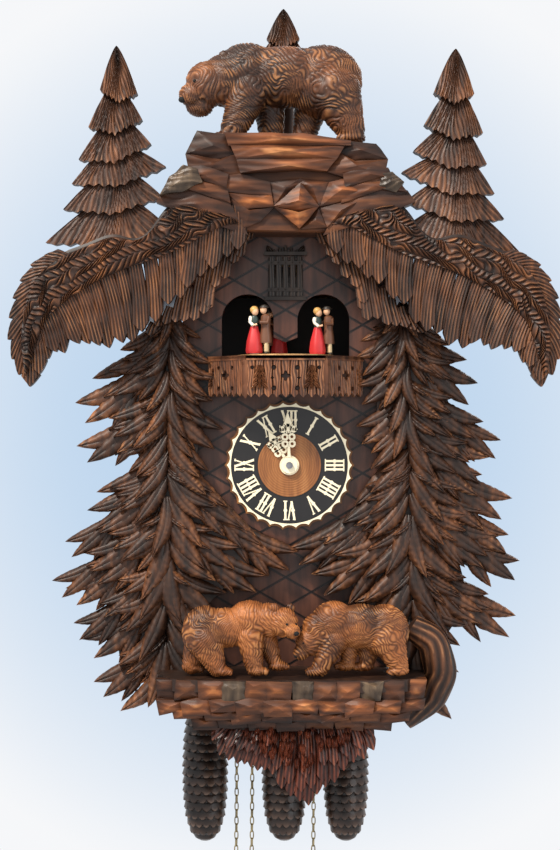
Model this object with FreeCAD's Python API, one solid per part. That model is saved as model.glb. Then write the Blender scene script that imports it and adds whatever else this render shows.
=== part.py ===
import FreeCAD, Part
import math
import os

# Carved wall cuckoo clock: a gabled case with bears, firs, a dial, a balcony with dancers
# and three chain-hung pine-cone weights. Millimetres. X runs to the right, Z up, and the
# front faces -Y. The origin is the centre of the hanger hole on the back plane, y = 0.

Vec = FreeCAD.Vector

# ---- Case -------------------------------------------------------------------------------
case_width = 216.0
case_depth = 150.0
wall = 8.0
back_thickness = 6.0
floor_z = -400.0              # upper face of the floor
front_foot_z = -470.0         # the front panel runs below the floor and carries the ledge
roof_under_z = 84.0           # underside of the ridge
roof_half_span = 148.0
roof_pitch_deg = 45.0
roof_thickness = 9.0
roof_overhang = 45.0
joint_gap = 0.3               # between pieces that move past each other

# ---- Front openings -----------------------------------------------------------------------
window_inner_x = 12.5
window_outer_x = 67.0
window_spring_z = -61.0
window_sill_z = -97.0
strip_tip_z = -84.0
cuckoo_opening_width = 30.0
cuckoo_opening_low_z = -32.0
cuckoo_opening_high_z = 2.0
lattice_angle_deg = 30.0
lattice_pitch = 27.0
groove_width = 1.6
groove_depth = 0.9

# ---- Dial -----------------------------------------------------------------------------------
dial_x = 4.0
dial_z = -213.0
dial_radius = 68.0
dial_base_thickness = 6.0
scallop_count = 30
scallop_depth = 2.6
cream_radius = 65.5
black_radius = 61.0
centre_radius = 33.0
ring_thickness = 3.0
numeral_height = 19.0
numeral_proud = 1.0
arbor_radius = 2.0
running_gap = 0.06
hour_pipe_radius = 3.6
panel_arbor_hole_radius = 6.0
minute_hand_length = 56.0
hour_hand_length = 42.0
hand_thickness = 1.4
hand_spacing = 1.2

# ---- Balcony and turntable -----------------------------------------------------------------
balcony_half_width = 80.0
bay_half_width = 40.0
balcony_side_depth = 16.0
balcony_clearance = 7.0        # from the turntable's edge to the balcony's front
rail_top_z = -100.0
rail_low_z = -143.0
balcony_board = 3.0
balcony_floor_top_z = -107.0
turntable_radius = 51.0
turntable_top_z = -98.0
turntable_thickness = 5.0
dancer_circle_radius = 40.0
dancer_height = 53.0
first_dancer_angle_deg = -42.0
couple_count = 3
pivot_radius = 2.0
pivot_depth = 22.0

# ---- Cuckoo -----------------------------------------------------------------------------------
cuckoo_door_width = 37.0
cuckoo_door_thickness = 4.0
cuckoo_travel = 34.0
bird_nose_y = -139.0
bird_z = -13.0

# ---- Movement -----------------------------------------------------------------------------------
plate_back_y = -44.0
plate_gap = 50.0
plate_thickness = 2.0
plate_left_x = -98.0
plate_right_x = 84.0
plate_low_z = -292.0
plate_high_z = -148.0
chain_y = -65.0
chain_wheel_z = -262.0
chain_wheel_radius = 17.5
wheel_xs = {"time": -70.5, "strike": -18.5, "music": 49.0}
loaded_sides = {"time": -1, "strike": 1, "music": 1}
chain_diameter = 5.0
weight_top_z = -463.0
weight_length = 165.0
weight_radius = 26.5
hook_height = 13.0
free_strand_end_z = -652.0
hank_width = 11.0
hank_depth = 40.0
hank_length = 116.0
pendulum_y = -21.0
pendulum_pivot_z = -160.0
pendulum_length = 330.0
bob_width = 46.0
bob_height = 66.0

# ---- Ledge ------------------------------------------------------------------------------------
ledge_top_z = -424.0
ledge_depth = 112.0
summit_bear_forward = 25.0      # middle of each bear ahead of the front panel
ledge_bear_forward = 76.0
ledge_left_x = -133.0
ledge_right_x = 143.0

# ---- Back and carving -----------------------------------------------------------------------------
lever_y = -30.0
lever_z = -330.0
lever_travel = 10.0
back_opening_half = 58.0
back_door_low_z = -340.0
back_door_high_z = -60.0
hanger_half_width = 20.0
hanger_low = 14.0
hanger_high = 18.0
hanger_thickness = 2.0
hanger_bore_radius = 5.0
pendulum_slot = 28.0
eave_carving_depth = 18.0
tree_gap = 8.0
tree_depth = 22.0
carving_flats = 14
carving_tiers = 6

# ---- Sound ------------------------------------------------------------------------------------
gong_x = 0.0
gong_y = -28.0
gong_z = -92.0
hammer_z = -132.0
bellows_inner_x = 72.0
bellows_back_y = -66.0
bellows_front_y = -104.0
bellows_low_z = -128.0
bellows_high_z = -48.0
music_z = -335.0

front_y = -case_depth
panel_inner_y = front_y + wall
half_case = case_width / 2
slope = math.tan(math.radians(roof_pitch_deg))
roof_rise = roof_thickness / math.cos(math.radians(roof_pitch_deg))
eave_z = roof_under_z - roof_half_span * slope
roof_front_y = front_y - roof_overhang
ledge_front_y = front_y - ledge_depth
balcony_depth = turntable_radius + balcony_clearance
back_door_mid_z = (back_door_low_z + back_door_high_z) / 2
hammer_x = gong_x + 9.0 + 2.4 * 7 + 10.5
music_drum_y = panel_inner_y + 22
carve_front_y = roof_front_y - eave_carving_depth
tree_back_y = front_y - tree_gap
tree_front_y = tree_back_y - tree_depth
roof_tree_back_y = roof_front_y + 14
roof_tree_front_y = roof_front_y
shapes = {}


def box(x0, x1, y0, y1, z0, z1):
    low = Vec(min(x0, x1), min(y0, y1), min(z0, z1))
    return Part.makeBox(abs(x1 - x0), abs(y1 - y0), abs(z1 - z0), low)


def rod(radius, start, end):
    line = Vec(*end) - Vec(*start)
    return Part.makeCylinder(radius, line.Length, Vec(*start), line)


def ball(centre, radius):
    return Part.makeSphere(radius, Vec(*centre))


def taper(radius_start, radius_end, start, end):
    line = Vec(*end) - Vec(*start)
    return Part.makeCone(radius_start, radius_end, line.Length, Vec(*start), line)


def faceted(rings):
    """Solid of flat faces through level rings of the same number of points, closed at both ends."""
    faces = []
    for lower, upper in zip(rings[:-1], rings[1:]):
        for index in range(len(lower)):
            ahead = (index + 1) % len(lower)
            corners = [lower[index], lower[ahead], upper[ahead], upper[index]]
            faces.append(Part.Face(Part.makePolygon(corners + corners[:1])))
    for ring in (rings[0], rings[-1]):
        faces.append(Part.Face(Part.makePolygon(ring + ring[:1])))
    return Part.Solid(Part.Shell(faces))


def level_ring(centre, radius_x, radius_y, z, flats=carving_flats):
    steps = [2 * math.pi * index / flats for index in range(flats)]
    return [Vec(centre[0] + radius_x * math.cos(step), centre[1] + radius_y * math.sin(step), z) for step in steps]


def lump(centre, radii):
    """Egg-shaped mass cut in flats."""
    rings = []
    for index in range(carving_tiers + 1):
        angle = math.radians(-78 + 156 * index / carving_tiers)
        wide = math.cos(angle)
        rings.append(level_ring(centre, radii[0] * wide, radii[1] * wide, centre[2] + radii[2] * math.sin(angle)))
    return faceted(rings)


def post(radius_foot, radius_top, foot, top_z):
    """Upright leg cut in flats."""
    return faceted([level_ring(foot, radius_foot, radius_foot, foot[2]), level_ring(foot, radius_top, radius_top, top_z)])


def slab(outline, y0, y1):
    """Flat board: an outline of (x, z) points between two depths."""
    points = [Vec(x, y0, z) for x, z in outline]
    face = Part.Face(Part.makePolygon(points + points[:1]))
    return face.extrude(Vec(0, y1 - y0, 0))


def deck(outline, z0, z1):
    """Flat board: an outline of (x, y) points between two heights."""
    points = [Vec(x, y, z0) for x, y in outline]
    face = Part.Face(Part.makePolygon(points + points[:1]))
    return face.extrude(Vec(0, 0, z1 - z0))


def joined(solids):
    whole = solids[0].multiFuse(solids[1:]) if len(solids) > 1 else solids[0]
    return whole.removeSplitter()


def mirrored(outline):
    return [(-x, z) for x, z in reversed(outline)]


def roof_line(x):
    return roof_under_z - abs(x) * slope


# ---- Case ---------------------------------------------------------------------------------------
def side_board(side):
    outer = side * half_case
    inner = side * (half_case - wall)
    outline = [(inner, floor_z - wall), (outer, floor_z - wall), (outer, roof_line(outer)), (inner, roof_line(inner))]
    board = slab(outline, -back_thickness, panel_inner_y)
    if side < 0:
        slot = box(outer - 1, inner + 1, lever_y - 2.4, lever_y + 2.4, lever_z - 4, lever_z + lever_travel + 4)
        board = board.cut(slot)
    return board


def gable(foot_z):
    return [(-half_case, foot_z), (half_case, foot_z), (half_case, roof_line(half_case)), (0, roof_under_z),
            (-half_case, roof_line(half_case))]


def window_cut(side):
    inner, outer = side * window_inner_x, side * window_outer_x
    radius = (window_outer_x - window_inner_x) / 2
    middle = (inner + outer) / 2
    arch = Part.makeCylinder(radius, wall + 4, Vec(middle, front_y - 2, window_spring_z), Vec(0, 1, 0))
    return arch.fuse(box(inner, outer, front_y - 2, panel_inner_y + 2, balcony_floor_top_z, window_spring_z))


def lattice_grooves():
    """Two families of shallow parallel grooves that cross as diamonds."""
    grooves = []
    reach = case_width + 160
    for sign in (-1, 1):
        for step in range(-22, 16):
            offset = (step + 0.5) * lattice_pitch
            cutter = box(-reach, reach, front_y - 1, front_y + groove_depth, -groove_width / 2, groove_width / 2)
            cutter.translate(Vec(0, 0, offset))
            cutter.rotate(Vec(0, 0, 0), Vec(0, 1, 0), sign * lattice_angle_deg)
            cutter.translate(Vec(0, 0, window_sill_z))
            grooves.append(cutter)
    return Part.makeCompound(grooves)


def front_panel():
    panel = slab(gable(front_foot_z), front_y, panel_inner_y)
    cuts = [window_cut(-1), window_cut(1)]
    half_strip = window_inner_x + 0.01
    strip_end = [(-half_strip, balcony_floor_top_z), (half_strip, balcony_floor_top_z), (half_strip, strip_tip_z + 5),
                 (0, strip_tip_z), (-half_strip, strip_tip_z + 5)]
    cuts.append(slab(strip_end, front_y - 2, panel_inner_y + 2))
    half_opening = cuckoo_opening_width / 2
    cuts.append(box(-half_opening, half_opening, front_y - 2, panel_inner_y + 2, cuckoo_opening_low_z,
                    cuckoo_opening_high_z))
    cuts.append(rod(panel_arbor_hole_radius, (dial_x, front_y - 2, dial_z), (dial_x, panel_inner_y + 2, dial_z)))
    pivot_low = (0, turntable_y, turntable_top_z - turntable_thickness - pivot_depth - 2)
    cuts.append(rod(pivot_radius + running_gap, pivot_low, (0, turntable_y, balcony_floor_top_z + 4)))
    return panel.cut(Part.makeCompound(cuts)).cut(lattice_grooves())


def case_floor():
    board = box(-half_case + wall, half_case - wall, -back_thickness, panel_inner_y, floor_z - wall, floor_z)
    holes = [box(-pendulum_slot, pendulum_slot, pendulum_y - 5, pendulum_y + 5, floor_z - wall - 1, floor_z + 1)]
    for name in wheel_xs:
        for strand_x in (loaded_x(name), free_x(name)):
            holes.append(rod(chain_diameter / 2 + 2.0, (strand_x, chain_y, floor_z - wall - 1),
                             (strand_x, chain_y, floor_z + 1)))
    return board.cut(Part.makeCompound(holes))


def back_panel():
    panel = slab(gable(floor_z - wall), -back_thickness, 0)
    opening = box(-back_opening_half, back_opening_half, -back_thickness - 1, 1, back_door_low_z, back_door_high_z)
    pocket = box(-hanger_half_width, hanger_half_width, -hanger_thickness, 1, -hanger_low, hanger_high)
    key = rod(hanger_bore_radius + 6, (0, -back_thickness - 1, 0), (0, 1, 0))
    return panel.cut(Part.makeCompound([opening, pocket, key]))


def hanger_plate():
    plate = box(-hanger_half_width, hanger_half_width, -hanger_thickness, 0, -hanger_low, hanger_high)
    return plate.cut(rod(hanger_bore_radius, (0, -hanger_thickness - 1, 0), (0, 1, 0)))


def roof_board(side):
    outline = [(0, roof_under_z), (side * roof_half_span, eave_z), (side * roof_half_span, eave_z + roof_rise),
               (0, roof_under_z + roof_rise)]
    return slab(outline, 0, roof_front_y)


def back_door():
    panel = box(-back_opening_half + joint_gap, back_opening_half - joint_gap, -back_thickness + 1, 0,
                back_door_low_z + joint_gap, back_door_high_z - joint_gap)
    knob = rod(5, (back_opening_half - 12, 0, back_door_mid_z), (back_opening_half - 12, 7, back_door_mid_z))
    return joined([panel, knob])


# ---- Carved work ------------------------------------------------------------------------------
def fir_outline(apex, base_z, half_width, tiers, notch=0.55, lean=0.0):
    """Saw-edged fir: each tier flares to a drooping tip and cuts back in above the next."""
    apex_x, apex_z = apex
    left, right = [], []
    for tier in range(tiers):
        low = (tier + 1.0) / tiers
        z_tip = apex_z + (base_z - apex_z) * low
        width = half_width * low ** 0.85
        middle = apex_x + lean * low
        left.append((middle - width, z_tip))
        right.append((middle + width, z_tip))
        if tier < tiers - 1:
            rise = (apex_z - base_z) / tiers * 0.28
            left.append((middle - width * notch, z_tip + rise))
            right.append((middle + width * notch, z_tip + rise))
    return [(apex_x, apex_z)] + right + left[::-1]


eave_bough_left_outline = [(-44, 12), (-66, 38), (-106, 58), (-122, 22), (-152, 9), (-177, 19), (-194, 5), (-233, -8),
                           (-254, -6), (-278, -45), (-283, -88), (-262, -128), (-246, -88), (-235, -98), (-219, -90),
                           (-190, -80), (-184, -97), (-157, -85), (-139, -63), (-108, -34)]
eave_bough_right_outline = [(43, 10), (84, -19), (111, -43), (136, -63), (156, -83), (172, -95), (186, -95),
                            (212, -99), (237, -106), (258, -127), (267, -97), (257, -38), (229, -8), (210, -12),
                            (185, 6), (144, 16), (120, 26), (103, 46), (57, 33)]
side_tree_left_outline = [(-118, -40), (-153, -84), (-165, -112), (-190, -143), (-208, -170), (-207, -210),
                          (-168, -186), (-175, -201), (-148, -222), (-198, -280), (-232, -350), (-195, -332),
                          (-218, -358), (-214, -395), (-189, -453), (-146, -445), (-118, -447), (-50, -354),
                          (2, -348), (-14, -307), (-36, -284), (-74, -258), (-81, -222), (-83, -142), (-86, -92)]
side_tree_right_outline = [(118, -40), (88, -95), (80, -150), (82, -200), (84, -235), (66, -262), (38, -290), (8, -318),
                           (8, -348), (56, -364), (119, -395), (139, -447), (181, -447), (182, -382), (233, -392),
                           (208, -340), (238, -330), (218, -282), (224, -268), (196, -232), (192, -210), (219, -206),
                           (190, -150), (175, -124), (163, -100)]
summit_outline = [(-43, 24), (-110, 72), (-92, 82), (-100, 101), (-92, 124), (92, 124), (103, 94), (99, 78), (114, 50),
                  (45, 26)]
eave_fringe_outline = [(-16, 62), (-142, -62), (-142, -72), (-112, -66), (-84, -50), (-46, 2), (-16, 30)]
ledge_outline = [(ledge_left_x, ledge_top_z), (ledge_left_x, -437), (-98, -459), (-70, -486), (94, -482), (112, -464),
                 (ledge_right_x, -447), (ledge_right_x, ledge_top_z)]
ledge_fringe_outline = [(-73, -470), (-73, -490), (-64, -506), (-46, -514), (-39, -502), (-20, -516), (-2, -536),
                        (24, -552), (44, -530), (70, -506), (94, -492), (94, -470)]


def summit_rock():
    rock = slab(summit_outline, front_y + 40, front_y - 72)
    top = roof_under_z + roof_rise
    far = 300.0
    under_roof = slab([(-far, top - far * slope), (far, top - far * slope), (0, top)], 10, roof_front_y)
    fir = slab(fir_outline((-2, 273), 123, 42, 4), front_y + 34, front_y + 20)
    rock = rock.cut(under_roof).cut(shapes["eave_bough_left"]).cut(shapes["eave_bough_right"])
    return joined([rock, fir])


def eave_fringe():
    return Part.makeCompound([slab(eave_fringe_outline, roof_front_y + 9, roof_front_y + 2),
                              slab(mirrored(eave_fringe_outline), roof_front_y + 9, roof_front_y + 2)])


def ledge_rock():
    platform = slab(ledge_outline, front_y, ledge_front_y).cut(shapes["side_tree_left"]).cut(shapes["side_tree_right"])
    lower = box(ledge_left_x - 1, ledge_right_x + 1, ledge_front_y - 1, ledge_front_y + 20, -500, -447)
    return platform.cut(lower)


def bear(centre_x, centre_y, foot_z, length, height, facing, head_drop):
    """Standing bear, chiselled in flats: barrel, rump, shoulder, four legs, a forward head and a snout."""
    spine_z = foot_z + height * 0.60
    rump_x = centre_x - facing * length * 0.27
    shoulder_x = centre_x + facing * length * 0.15
    head_x = centre_x + facing * length * 0.34
    head_z = foot_z + height * (0.68 - head_drop)
    head_y = centre_y - height * 0.05
    snout_x = head_x + facing * height * 0.22
    parts = [lump((centre_x, centre_y, spine_z), (length * 0.30, height * 0.23, height * 0.25)),
             lump((rump_x, centre_y, spine_z), (length * 0.21, height * 0.26, height * 0.32)),
             lump((shoulder_x, centre_y, spine_z + height * 0.08), (length * 0.20, height * 0.27, height * 0.31)),
             lump((head_x, head_y, head_z), (height * 0.24, height * 0.18, height * 0.20)),
             lump((snout_x, head_y - height * 0.03, head_z - height * 0.07), (height * 0.15, height * 0.09,
                                                                            height * 0.09))]
    for along, across in ((0.24, -0.14), (0.17, 0.13), (-0.19, -0.15), (-0.30, 0.12)):
        x = centre_x + facing * along * length
        y = centre_y + across * height
        parts.append(post(height * 0.10, height * 0.15, (x, y, foot_z), spine_z))
    return joined(parts)


# ---- Balcony, dancers and cuckoo ------------------------------------------------------------
turntable_y = front_y + wall / 2


def bay_outline(inset):
    """Plan of the three-sided balcony, pulled in by an inset."""
    back = front_y
    side = front_y - balcony_side_depth + inset * 0.4
    front = front_y - balcony_depth + inset
    wide = balcony_half_width - inset
    bay = bay_half_width - inset * 0.4
    return [(-wide, back), (-wide, side), (-bay, front), (bay, front), (wide, side), (wide, back)]


def balcony_floor():
    board = deck(bay_outline(balcony_board + 0.2), balcony_floor_top_z - 5, balcony_floor_top_z)
    return board.cut(rod(pivot_radius + 3, (0, turntable_y, -200), (0, turntable_y, -50)))


def balcony_railing():
    outer = deck(bay_outline(0), rail_low_z, rail_top_z)
    inner = deck(bay_outline(balcony_board), rail_low_z - 1, rail_top_z + 1)
    rail = deck(bay_outline(-2.0), rail_top_z - 5, rail_top_z)
    rail = rail.cut(deck(bay_outline(balcony_board + 0.2), rail_top_z - 6, rail_top_z + 1))
    behind = box(-200, 200, front_y, front_y + 20, -200, 0)
    panels = outer.cut(inner).cut(behind)
    holes = []
    for x in (-24, -8, 8, 24):
        for z in (rail_top_z - 11, rail_top_z - 33):
            holes.append(rod(2.4, (x, front_y - 90, z), (x, front_y - balcony_depth + 8, z)))
    holes.append(rod(5.0, (0, front_y - 90, rail_top_z - 22), (0, front_y - balcony_depth + 8, rail_top_z - 22)))
    return panels.cut(Part.makeCompound(holes)).fuse(rail.cut(behind)).removeSplitter()


def turntable():
    disc = Part.makeCylinder(turntable_radius, turntable_thickness,
                             Vec(0, turntable_y, turntable_top_z - turntable_thickness))
    pivot_end = turntable_top_z - turntable_thickness - pivot_depth
    return joined([disc, rod(pivot_radius, (0, turntable_y, pivot_end), (0, turntable_y, turntable_top_z - 1))])


def dancer(x, y):
    """One small turned figure: skirt or coat, chest and head."""
    foot = turntable_top_z
    waist = foot + dancer_height * 0.55
    neck = foot + dancer_height * 0.78
    return [taper(dancer_height * 0.17, dancer_height * 0.08, (x, y, foot), (x, y, waist)),
            taper(dancer_height * 0.09, dancer_height * 0.05, (x, y, waist - 1), (x, y, neck)),
            ball((x, y, foot + dancer_height * 0.88), dancer_height * 0.12)]


def dancer_couples():
    couples = []
    for step in range(couple_count):
        angle = math.radians(first_dancer_angle_deg + 360.0 * step / couple_count)
        x = dancer_circle_radius * math.sin(angle)
        y = turntable_y - dancer_circle_radius * math.cos(angle)
        half = dancer_height * 0.105
        along = (math.cos(angle) * half, math.sin(angle) * half)
        couples.append(joined(dancer(x - along[0], y - along[1]) + dancer(x + along[0], y + along[1])))
    return Part.makeCompound(couples)


door_hinge_x = -cuckoo_door_width / 2
door_hinge_y = front_y - joint_gap - cuckoo_door_thickness


def cuckoo_door():
    return box(-cuckoo_door_width / 2, cuckoo_door_width / 2, door_hinge_y, door_hinge_y + cuckoo_door_thickness,
               cuckoo_opening_low_z - 4, cuckoo_opening_high_z + 4)


def cuckoo_door_frame():
    half = cuckoo_door_width / 2
    top = cuckoo_opening_high_z + 4 + joint_gap
    low = cuckoo_opening_low_z - 4 - joint_gap
    depth = front_y - 7
    pieces = [box(-half - 4, half + 4, depth - 2, front_y, top, top + 4),
              box(-half - 3, half + 3, depth, front_y, low - 4, low)]
    teeth = 5
    tooth = (2 * half + 4) / (2 * teeth - 1)
    for index in range(teeth):
        x = -half - 2 + 2 * index * tooth
        pieces.append(box(x, x + tooth, front_y - 5, front_y, top + 4, top + 8))
    return joined(pieces)


def cuckoo_bird():
    body_y = bird_nose_y + 21
    rail_low = bird_z - 17
    parts = [ball((0, body_y, bird_z), 8.5), taper(8, 4, (0, body_y, bird_z), (0, body_y + 14, bird_z)),
             ball((0, body_y - 9, bird_z + 5), 6.5),
             rod(1.4, (0, body_y - 12, bird_z + 5), (0, bird_nose_y, bird_z + 4)),
             rod(1.6, (0, body_y + 10, bird_z), (0, body_y + 26, bird_z + 2)),
             box(-4, 4, body_y - 4, body_y + 14, rail_low + joint_gap, bird_z - 4)]
    return joined(parts)


def cuckoo_rail():
    """Wooden shelf behind the front panel that the bird's carriage slides on."""
    rail_low = bird_z - 17
    return box(-9, 9, panel_inner_y, panel_inner_y + 70, rail_low - 5, rail_low)


# ---- Dial and hands ---------------------------------------------------------------------------
def disc(radius, y0, y1):
    return Part.makeCylinder(radius, abs(y1 - y0), Vec(dial_x, max(y0, y1), dial_z), Vec(0, -1, 0))


def scalloped(radius, y0, y1):
    """Disc whose edge is cut by shallow round bites, with cusps between them."""
    plain = disc(radius, y0, y1)
    chord = 2 * radius * math.sin(math.pi / scallop_count)
    bite = (chord * chord / 4 + scallop_depth * scallop_depth) / (2 * scallop_depth)
    centre = radius * math.cos(math.pi / scallop_count) + bite - scallop_depth
    cutters = []
    for index in range(scallop_count):
        angle = 2 * math.pi * index / scallop_count
        x = dial_x + centre * math.sin(angle)
        z = dial_z + centre * math.cos(angle)
        cutters.append(rod(bite, (x, max(y0, y1) + 1, z), (x, min(y0, y1) - 1, z)))
    return plain.cut(Part.makeCompound(cutters))


base_front_y = front_y - dial_base_thickness
ring_front_y = base_front_y - ring_thickness
arbor_bore = hour_pipe_radius + 1.0


def dial_base():
    return scalloped(dial_radius, front_y, base_front_y).cut(disc(arbor_bore, front_y + 1, base_front_y - 1))


def cream_ring():
    ring = scalloped(cream_radius, base_front_y, ring_front_y)
    return ring.cut(disc(black_radius + 0.1, base_front_y + 1, ring_front_y - 1))


def black_ring():
    return disc(black_radius, base_front_y, ring_front_y).cut(disc(centre_radius + 0.1, front_y, ring_front_y - 1))


def dial_centre():
    return disc(centre_radius, base_front_y, ring_front_y - 1).cut(disc(arbor_bore, front_y, ring_front_y - 2))


numerals = ["XII", "I", "II", "III", "IIII", "V", "VI", "VII", "VIII", "IX", "X", "XI"]


def stroke(x0, z0, x1, z1, width):
    """Straight bar between two points of the numeral's own plane."""
    length = math.hypot(x1 - x0, z1 - z0)
    bar = box(-width / 2, width / 2, ring_front_y - numeral_proud, ring_front_y, 0, length)
    bar.rotate(Vec(0, 0, 0), Vec(0, 1, 0), math.degrees(math.atan2(x1 - x0, z1 - z0)))
    bar.translate(Vec(x0, 0, z0))
    return bar


def numeral(text, angle):
    widths = {"I": 4.0, "V": 8.0, "X": 8.0}
    total = sum(widths[letter] for letter in text)
    cursor = -total / 2
    bars = []
    half = numeral_height / 2
    for letter in text:
        wide = widths[letter]
        middle = cursor + wide / 2
        if letter == "I":
            bars.append(stroke(middle, -half, middle, half, 2.0))
        elif letter == "V":
            bars.append(stroke(middle, -half, middle - 3, half, 2.0))
            bars.append(stroke(middle, -half, middle + 3, half, 1.4))
        else:
            bars.append(stroke(middle + 3, -half, middle - 3, half, 2.0))
            bars.append(stroke(middle - 3, -half, middle + 3, half, 1.4))
        cursor += wide
    shape = joined(bars)
    shape.translate(Vec(0, 0, (black_radius + centre_radius) / 2))
    shape.rotate(Vec(0, 0, 0), Vec(0, 1, 0), angle)
    shape.translate(Vec(dial_x, 0, dial_z))
    return shape


def dial_numerals():
    return Part.makeCompound([numeral(text, 30.0 * hour) for hour, text in enumerate(numerals)])


hour_hand_y = ring_front_y - numeral_proud - hand_spacing
minute_hand_y = hour_hand_y - hand_thickness - hand_spacing


def hand(length, y, turn, bore, hub):
    """Flat carved hand: a hub, a lobed blade and a pointed tip, pierced in the blade."""
    blade = [(-2, 0), (-2, length * 0.35), (-6, length * 0.52), (-5, length * 0.66), (-8, length * 0.74),
             (-2, length * 0.84), (0, length), (2, length * 0.84), (8, length * 0.74), (5, length * 0.66),
             (6, length * 0.52), (2, length * 0.35), (2, 0)]
    shape = slab(blade, y, y - hand_thickness)
    shape = shape.cut(rod(1.9, (0, y + 1, length * 0.56), (0, y - 5, length * 0.56)))
    shape = shape.fuse(rod(hub, (0, y, 0), (0, y - hand_thickness, 0)))
    shape = shape.cut(rod(bore, (0, y + 1, 0), (0, y - 5, 0)))
    shape.rotate(Vec(0, 0, 0), Vec(0, 1, 0), turn)
    shape.translate(Vec(dial_x, 0, dial_z))
    return shape.removeSplitter()


def hour_hand():
    flat = hand(hour_hand_length, hour_hand_y, -32.0, arbor_radius + running_gap, 9.5)
    pipe_back = plate_front_y - 3
    pipe = rod(hour_pipe_radius, (dial_x, pipe_back, dial_z), (dial_x, hour_hand_y, dial_z))
    bore = rod(arbor_radius + running_gap, (dial_x, pipe_back + 1, dial_z), (dial_x, hour_hand_y - 5, dial_z))
    return flat.fuse(pipe).cut(bore).removeSplitter()


plate_front_y = plate_back_y - plate_gap


def minute_hand():
    return hand(minute_hand_length, minute_hand_y, -2.0, arbor_radius, 7.0)


def centre_arbor():
    """Arbor through both plates with its wheel, and the nut that holds the minute hand."""
    wheel_y = plate_back_y - 8
    return joined([rod(arbor_radius, (dial_x, plate_back_y + 4, dial_z), (dial_x, minute_hand_y - 5, dial_z)),
                   rod(22, (dial_x, wheel_y, dial_z), (dial_x, wheel_y - 2, dial_z)),
                   rod(3.6, (dial_x, minute_hand_y - hand_thickness, dial_z), (dial_x, minute_hand_y - 4.5, dial_z))])


# ---- Movement ---------------------------------------------------------------------------------
def loaded_x(name):
    return wheel_xs[name] + loaded_sides[name] * chain_wheel_radius


def free_x(name):
    return wheel_xs[name] - loaded_sides[name] * chain_wheel_radius


def movement_frame():
    """Two brass plates, four pillars that run on to the front panel, and the pendulum post."""
    pieces = []
    for y in (plate_back_y, plate_front_y):
        pieces.append(box(plate_left_x, plate_right_x, y, y - plate_thickness, plate_low_z, plate_high_z))
    for x, z in ((-82, plate_high_z - 10), (68, plate_high_z - 10), (-44.5, plate_low_z + 6), (14.5, plate_low_z + 6)):
        pieces.append(rod(3.5, (x, plate_back_y - 0.5, z), (x, panel_inner_y, z)))
    pieces.append(rod(5, (0, plate_back_y, pendulum_pivot_z), (0, pendulum_y - 6 - joint_gap, pendulum_pivot_z)))
    frame = joined(pieces)
    holes = [rod(arbor_radius + running_gap, (dial_x, 0, dial_z), (dial_x, panel_inner_y, dial_z))]
    for x in wheel_xs.values():
        holes.append(rod(2.5 + running_gap, (x, 0, chain_wheel_z), (x, panel_inner_y, chain_wheel_z)))
    return frame.cut(Part.makeCompound(holes))


def chain_wheel(name):
    """Ratchet sprocket with a chain groove, its toothed great wheel and arbor."""
    x = wheel_xs[name]
    groove = chain_wheel_radius - chain_diameter / 2 - joint_gap
    parts = [rod(groove, (x, chain_y + 4, chain_wheel_z), (x, chain_y - 4, chain_wheel_z)),
             rod(2.5, (x, plate_back_y + 2, chain_wheel_z), (x, plate_front_y - 4, chain_wheel_z)),
             rod(21, (x, chain_y - 13, chain_wheel_z), (x, chain_y - 15.5, chain_wheel_z))]
    wheel = joined(parts)
    pins = []
    for index in range(24):
        angle = 2 * math.pi * index / 24
        px = x + 21 * math.cos(angle)
        pz = chain_wheel_z + 21 * math.sin(angle)
        pins.append(rod(1.2, (px, chain_y - 12, pz), (px, chain_y - 17, pz)))
    return wheel.cut(Part.makeCompound(pins))


def chain_strand(x, low_z):
    return rod(chain_diameter / 2, (x, chain_y, low_z), (x, chain_y, chain_wheel_z))


def free_chain(name):
    """Free strand, and the hank that its spare length is tied into below it."""
    x = free_x(name)
    strand = chain_strand(x, free_strand_end_z)
    hank = box(x - hank_width / 2, x + hank_width / 2, chain_y - hank_depth / 2, chain_y + hank_depth / 2,
               free_strand_end_z - hank_length, free_strand_end_z)
    return Part.makeCompound([strand, hank])


def cone_weight(name):
    """Cast pine cone, narrow at the foot and fullest at its middle, with a wire hook."""
    x = loaded_x(name)
    profile = [(0.10, 0.0), (0.40, 0.02), (0.66, 0.07), (0.86, 0.17), (0.97, 0.32), (1.0, 0.50), (0.95, 0.70),
               (0.80, 0.87), (0.50, 0.97), (0.20, 1.0)]
    foot_z = weight_top_z - weight_length
    rings = [level_ring((x, chain_y), weight_radius * r, weight_radius * r, foot_z + weight_length * h, 24)
             for r, h in profile]
    stem = rod(1.3, (x, chain_y, weight_top_z - 4), (x, chain_y, weight_top_z + 3.5))
    ring = Part.makeTorus(4.6, 1.3, Vec(x, chain_y, weight_top_z + hook_height - 5.9), Vec(0, 1, 0))
    return joined([faceted(rings), stem, ring])


def pendulum_leader():
    foot = pendulum_pivot_z - pendulum_length
    return joined([rod(1.5, (0, pendulum_y, foot), (0, pendulum_y, pendulum_pivot_z)),
                   rod(3.0, (0, pendulum_y - 6, pendulum_pivot_z), (0, pendulum_y + 6, pendulum_pivot_z))])


def pendulum_bob():
    """Carved leaf: a pointed oval with the leader's end in its top."""
    foot = pendulum_pivot_z - pendulum_length
    half_w, half_h = bob_width / 2, bob_height / 2
    points = []
    sides = 9
    for index in range(sides):
        t = math.pi * index / (sides - 1)
        points.append((half_w * math.sin(t) ** 1.3, foot - half_h + half_h * math.cos(t)))
    leaf = slab(points + [(-x, z) for x, z in points[-2:0:-1]], pendulum_y - 4, pendulum_y + 4)
    return leaf


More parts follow.
